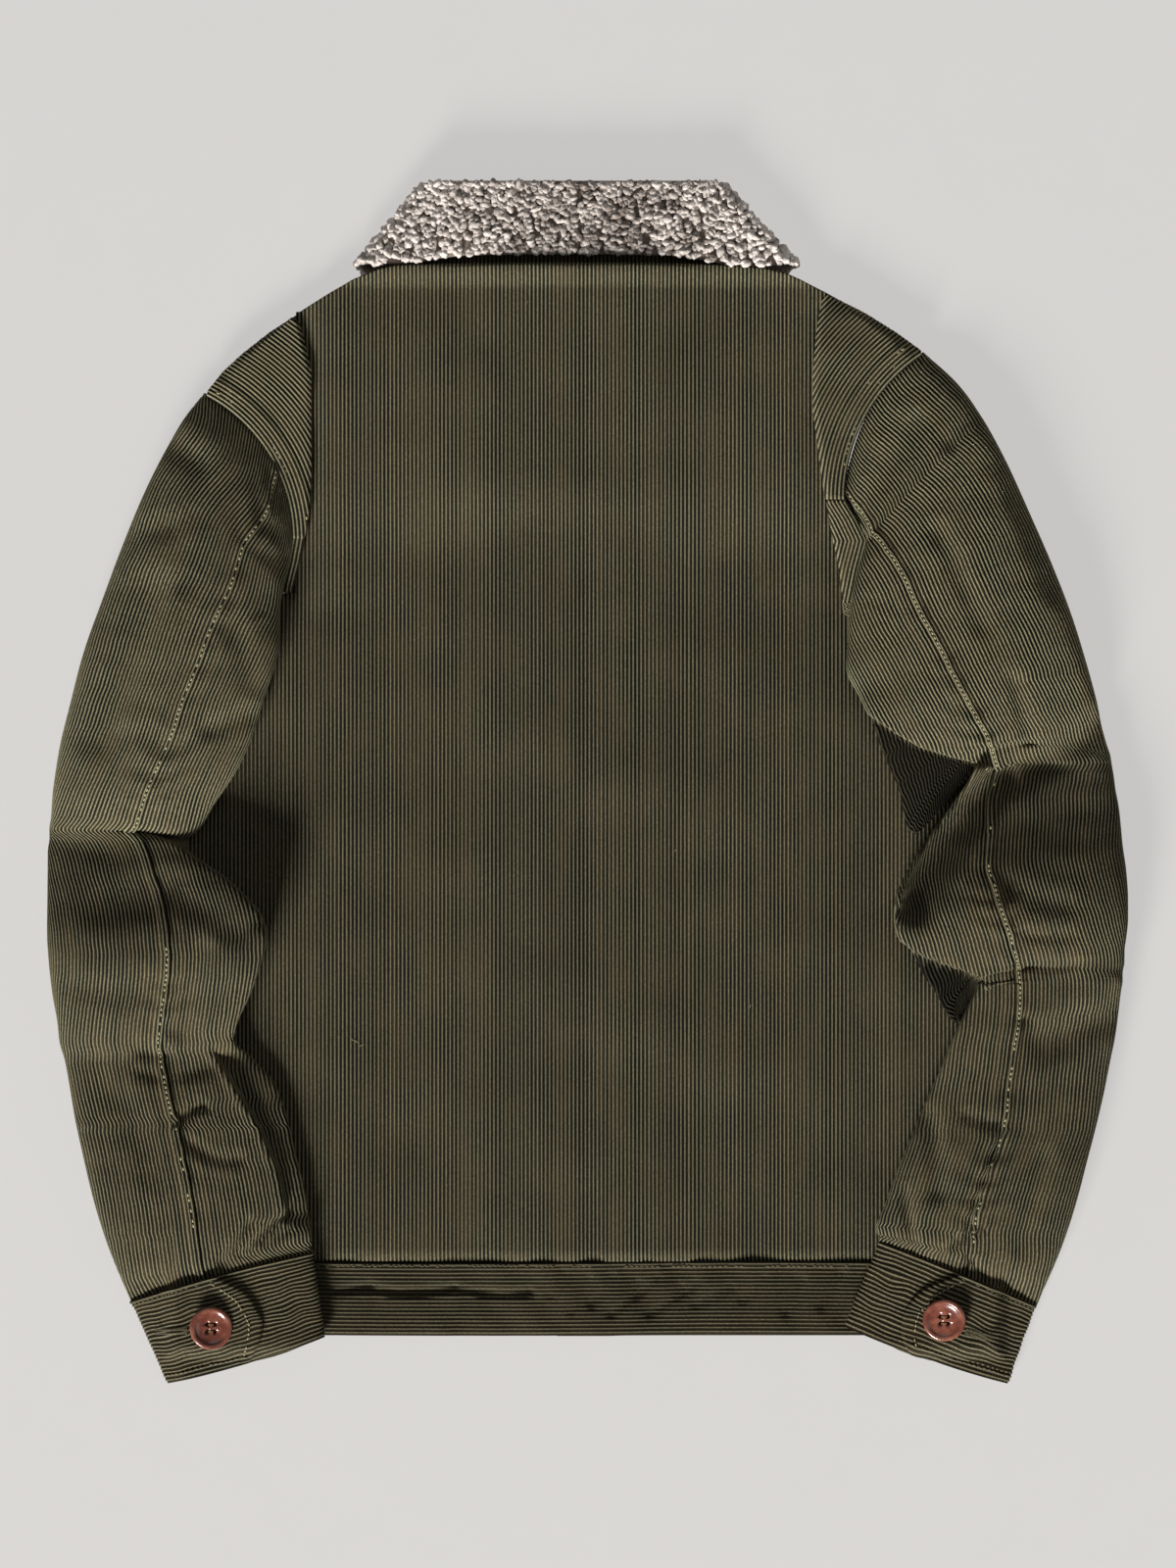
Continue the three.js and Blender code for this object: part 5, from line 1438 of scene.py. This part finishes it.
def place_button(side):
    cuff = CUFFS[side]
    x, y = np.array([cuff.button[0]]), np.array([cuff.button[1]])
    base = float(rest_height(x, y)[0]) + CUFF_RISE + TAB_LIFT + SEAM + 0.8
    disc = button(f"cuff_button_{side}_turned")
    paths = []
    for row in (1, -1):
        arch = [(share * HOLE_OFFSET, row * HOLE_OFFSET, height) for share, height in
                ((-1, 0.9), (-0.75, 2.6), (0, 2.85), (0.75, 2.6), (1, 0.9))]
        for nudge in (-0.3, 0.3):
            paths.append([(px, py + nudge, pz) for px, py, pz in arch])
    threads = many_cords(f"cuff_button_{side}_thread", paths, 0.26, GOLD_THREAD)
    tilt = BUTTON_TILT[side]
    for piece in (disc, threads):
        turn_x, turn_y = math.radians(tilt.x), math.radians(tilt.y)
        cx, sx, cy, sy = math.cos(turn_x), math.sin(turn_x), math.cos(turn_y), math.sin(turn_y)
        about_x = np.array([[1, 0, 0], [0, cx, -sx], [0, sx, cx]])
        about_y = np.array([[cy, 0, sy], [0, 1, 0], [-sy, 0, cy]])
        count = len(piece.data.vertices)
        co = np.empty(count * 3, np.float32)
        piece.data.vertices.foreach_get("co", co)
        moved = co.reshape(-1, 3) @ (about_y @ about_x).T + np.array([x[0], y[0], base]) * MM
        piece.data.vertices.foreach_set("co", moved.astype(np.float32).ravel())
        piece.data.update()
    settle(disc, [f"cuff_button_{side}"])
    settle(threads, [])


for side in CUFFS:
    place_button(side)

# %% [markdown]
# The front buttons are done up under the body. Nothing shows of them from above, so the frame's
# own solids stay and take the polished finish.

# %% Front buttons keep their solids
for k in range(1, 6):
    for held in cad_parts[f"front_button_{k}"].material_slots:
        held.material = BUTTON_BROWN
print("front buttons: 5")


# %% [markdown]
# ## Stitches
# Topstitching is what the eye finds first on workwear. The thread is paler than the cloth. Each
# stitch is its own short closed cord that dips at both ends, laid along a seam. It sinks into
# the pile by a different amount each time, so the row comes and goes as it does on the photo.

# %% Stitch rows
def stitch_row(path, length=2.3, gap=0.8, lift=0.25, strength=1.0, seed=1):
    """Short cords along a path of points; strength below 1 leaves some of them sunk."""
    draw = np.random.default_rng(seed)
    path = np.asarray(path, float)
    run = np.concatenate([[0], np.cumsum(np.linalg.norm(np.diff(path, axis=0), axis=1))])
    made = []
    place = gap
    while place + length < run[-1]:
        at = place + np.array([0, 0.2, 0.5, 0.8, 1.0]) * length
        line = np.stack([np.interp(at, run, path[:, c]) for c in range(3)], 1)
        line[:, 2] += np.array([-0.55, 0.1, 0.3, 0.1, -0.55]) + lift
        line[:, :2] += draw.normal(0, 0.12, 2)
        if draw.uniform() < strength:
            made.append(line)
        place += length + gap
    return made


def sleeve_line(side, part, offset, first, last):
    """A line at one distance from the seam, from one station of the sleeve to another."""
    _, face, normal, index = SLEEVES[side, part]
    column = int(round(offset / COLUMN))
    rows = np.nonzero((index >= first) & (index <= last))[0]
    return face[rows, column] + normal[rows, column] * 0.1


def edge_line(edge_points, offset):
    """A line beside the armhole on the folded shoulder of the back."""
    points = np.array([(x + offset[0], y + offset[1]) for y, x in edge_points])
    z = back_under(points[:, 0], points[:, 1]) + WALL + 1.2 + RIB
    return np.column_stack([points, z])


cream = []
for side, spans in (("left", ((0, 10.5, 0.75), (17, 24, 0.8), (24, 27.3, 0.45))),
                    ("right", ((0, 11.6, 1.0), (11.6, 16.4, 0.15), (16.4, 28.5, 0.95),
                               (28.5, 34.3, 0.5)))):
    for k, (first, last, strength) in enumerate(spans):
        line = sleeve_line(side, "top", WALE, first, last)
        cream += stitch_row(line, strength=strength, seed=k + 2)
left_hole = armhole(LEFT_SECTIONS[0], 0)
right_hole = armhole(RIGHT_SECTIONS[0], 0)
cream += stitch_row(edge_line(left_hole, (3.4, 2.0)), strength=0.7, seed=9)
cream += stitch_row(edge_line(left_hole, (8.0, 4.6)), strength=0.35, seed=10)
cream += stitch_row(edge_line(right_hole, (-3.2, 1.6)), strength=0.4, seed=11)
cream += stitch_row(edge_line(right_hole, (-7.8, 4.0)), strength=0.35, seed=12)
cream_stitches = settle(many_cords("stitches_cream", cream, 0.5, CREAM_THREAD), [])

# %% [markdown]
# The bands are sewn with a thread nearer to the cloth's own colour, and only the end of each
# tab carries the pale one. A buttonhole is a slit with bars of thread side by side round it.

# %% Stitches of the bands and the buttonholes
def surface_line(piece_face, row, start, end):
    return piece_face[row, start:end] + np.array([0, 0, 0.15])


olive, pale = [], []
for _, face in CUFF_PIECES.values():
    olive += stitch_row(surface_line(face, 3, 2, 44), strength=0.8, seed=21)
    olive += stitch_row(surface_line(face, len(face) - 7, 2, 44), strength=0.8, seed=22)
    edge_rows = np.arange(4, len(face) - 6)
    pale += stitch_row(face[edge_rows, 4] + np.array([0, 0, 0.1]), strength=0.8, seed=23)
hem_x = np.linspace(-236, 232, 300)
hem_y = np.full(300, HEM_SEAM - 2.6)
hem_z = back_under(hem_x, hem_y, 0.0) + WALL + 0.9 + RIB * 0.6
olive += stitch_row(np.column_stack([hem_x, hem_y, hem_z]), strength=0.7, seed=24)
olive_stitches = settle(many_cords("stitches_olive", olive, 0.36, OLIVE_THREAD), [])
pale_stitches = settle(many_cords("stitches_pale", pale, 0.36, CREAM_THREAD), [])


Hole = namedtuple("Hole", "from_x from_y to_x to_y")
BUTTONHOLES = {"left": Hole(-255, -324, -236, -323), "right": Hole(223, -323, 240, -328)}


def buttonhole(hole):
    """Bars of thread set side by side round a slit."""
    start, end = np.array(hole[:2], float), np.array(hole[2:], float)
    line = end - start
    across = np.array([-line[1], line[0]]) / np.linalg.norm(line)
    bars = []
    count = int(np.linalg.norm(line) / 0.75)
    for k in range(count + 1):
        for sign in (1, -1):
            spot = start + line * k / count + across * 0.35 * sign
            tip = spot + across * 1.5 * sign
            both = np.array([spot, (spot + tip) / 2, tip])
            z = rest_height(both[:, 0], both[:, 1]) + CUFF_RISE + TAB_LIFT + RIB + 0.3
            bars.append(np.column_stack([both, z + np.array([-0.3, 0.25, -0.3])]))
    return bars


holes = [bar for hole in BUTTONHOLES.values() for bar in buttonhole(hole)]
hole_thread = settle(many_cords("buttonhole_thread", holes, 0.3, OLIVE_THREAD), [])

# %% [markdown]
# ## Lint
# A few pale threads of lint lie on the back, as on any corduroy that has been handled.

# %% Lint
Lint = namedtuple("Lint", "x y length turn")
LINTS = [Lint(-137.5, -152.5, 6.0, -35), Lint(-133.5, -155.2, 3.6, 10), Lint(-36, 283, 2.6, 30),
         Lint(177, 62, 2.4, 60), Lint(52, -40, 2.0, 15), Lint(96, -132, 1.8, 80)]


def lint_path(lint):
    t = np.linspace(-0.5, 0.5, 5)
    turn = math.radians(lint.turn)
    x = lint.x + lint.length * t * math.cos(turn)
    y = lint.y + lint.length * t * math.sin(turn) + 0.4 * np.sin(t * 5)
    return np.column_stack([x, y, back_face(x, y) + RIB + 0.3])


lint = settle(many_cords("lint", [lint_path(row) for row in LINTS], 0.16, CREAM_THREAD), [])

# %% [markdown]


# %% [markdown]
# ## Floor, light and camera
# A plain pale floor and broad studio light, as in a shop's picture. The main light comes low
# from the hem side, which is what makes each wale cast a fine shadow, and two wide fills open
# the dark side. The camera looks straight down through a long lens.

# %% Stage
def floor():
    half = 3.0
    points = np.array([(-half, -half, 0), (half, -half, 0), (half, half, 0), (-half, half, 0)])
    material, w = new_material("floor_paper")
    place = w.node("ShaderNodeTexCoord").outputs["Object"]
    grain = w.noise(place, 30.0, 2.0)
    colour = w.blend(grain, srgb(106, 104, 103), srgb(109, 107, 106))
    shader = w.node("ShaderNodeBsdfPrincipled", {"Base Color": colour, "Roughness": 0.9,
                                                 "Specular IOR Level": 0.05,
                                                 "Emission Color": srgb(226, 224, 222),
                                                 "Emission Strength": 0.72})
    w.node("ShaderNodeOutputMaterial", {0: shader.outputs[0]})
    plane = mesh_piece("floor_paper", points, np.array([(0, 1, 2, 3)]), material, smooth=False)


def area_light(name, place, size, power, colour):
    lamp = bpy.data.lights.new(name, "AREA")
    lamp.shape, lamp.size, lamp.energy, lamp.color = "SQUARE", size, power, colour
    lit = bpy.data.objects.new(name, lamp)
    lit.location = place
    away = math.hypot(place[0], place[1])
    lit.rotation_euler = (math.atan2(away, place[2]), 0,
                          math.atan2(place[1], place[0]) + math.pi / 2)
    bpy.context.scene.collection.objects.link(lit)


FRAME_HEIGHT = 0.928
CAMERA_HEIGHT = 5.0
CENTRE = (0.0003, -0.0009)


def camera():
    lens = bpy.data.cameras.new("camera")
    lens.sensor_width = 36.0
    lens.lens = 36.0 * CAMERA_HEIGHT / FRAME_HEIGHT
    seen = bpy.data.objects.new("camera", lens)
    seen.location = (CENTRE[0], CENTRE[1], CAMERA_HEIGHT)
    bpy.context.scene.collection.objects.link(seen)
    bpy.context.scene.camera = seen


floor()
area_light("key", (-3.2, -7.7, 3.8), 2.6, 1550.0, (1.0, 0.99, 0.975))
area_light("fill_top", (0.3, 1.6, 3.4), 2.2, 10.0, (0.97, 0.985, 1.0))
area_light("fill_right", (2.6, -0.8, 2.2), 1.8, 7.0, (1.0, 0.99, 0.98))
world = bpy.data.worlds.new("studio")
world.use_nodes = True
world.node_tree.nodes["Background"].inputs[0].default_value = (1.0, 0.995, 0.99, 1.0)
world.node_tree.nodes["Background"].inputs[1].default_value = 0.09
bpy.context.scene.world = world
bpy.context.scene.view_settings.view_transform = "Standard"
camera()
print("camera lens", round(bpy.context.scene.camera.data.lens, 1), "mm")
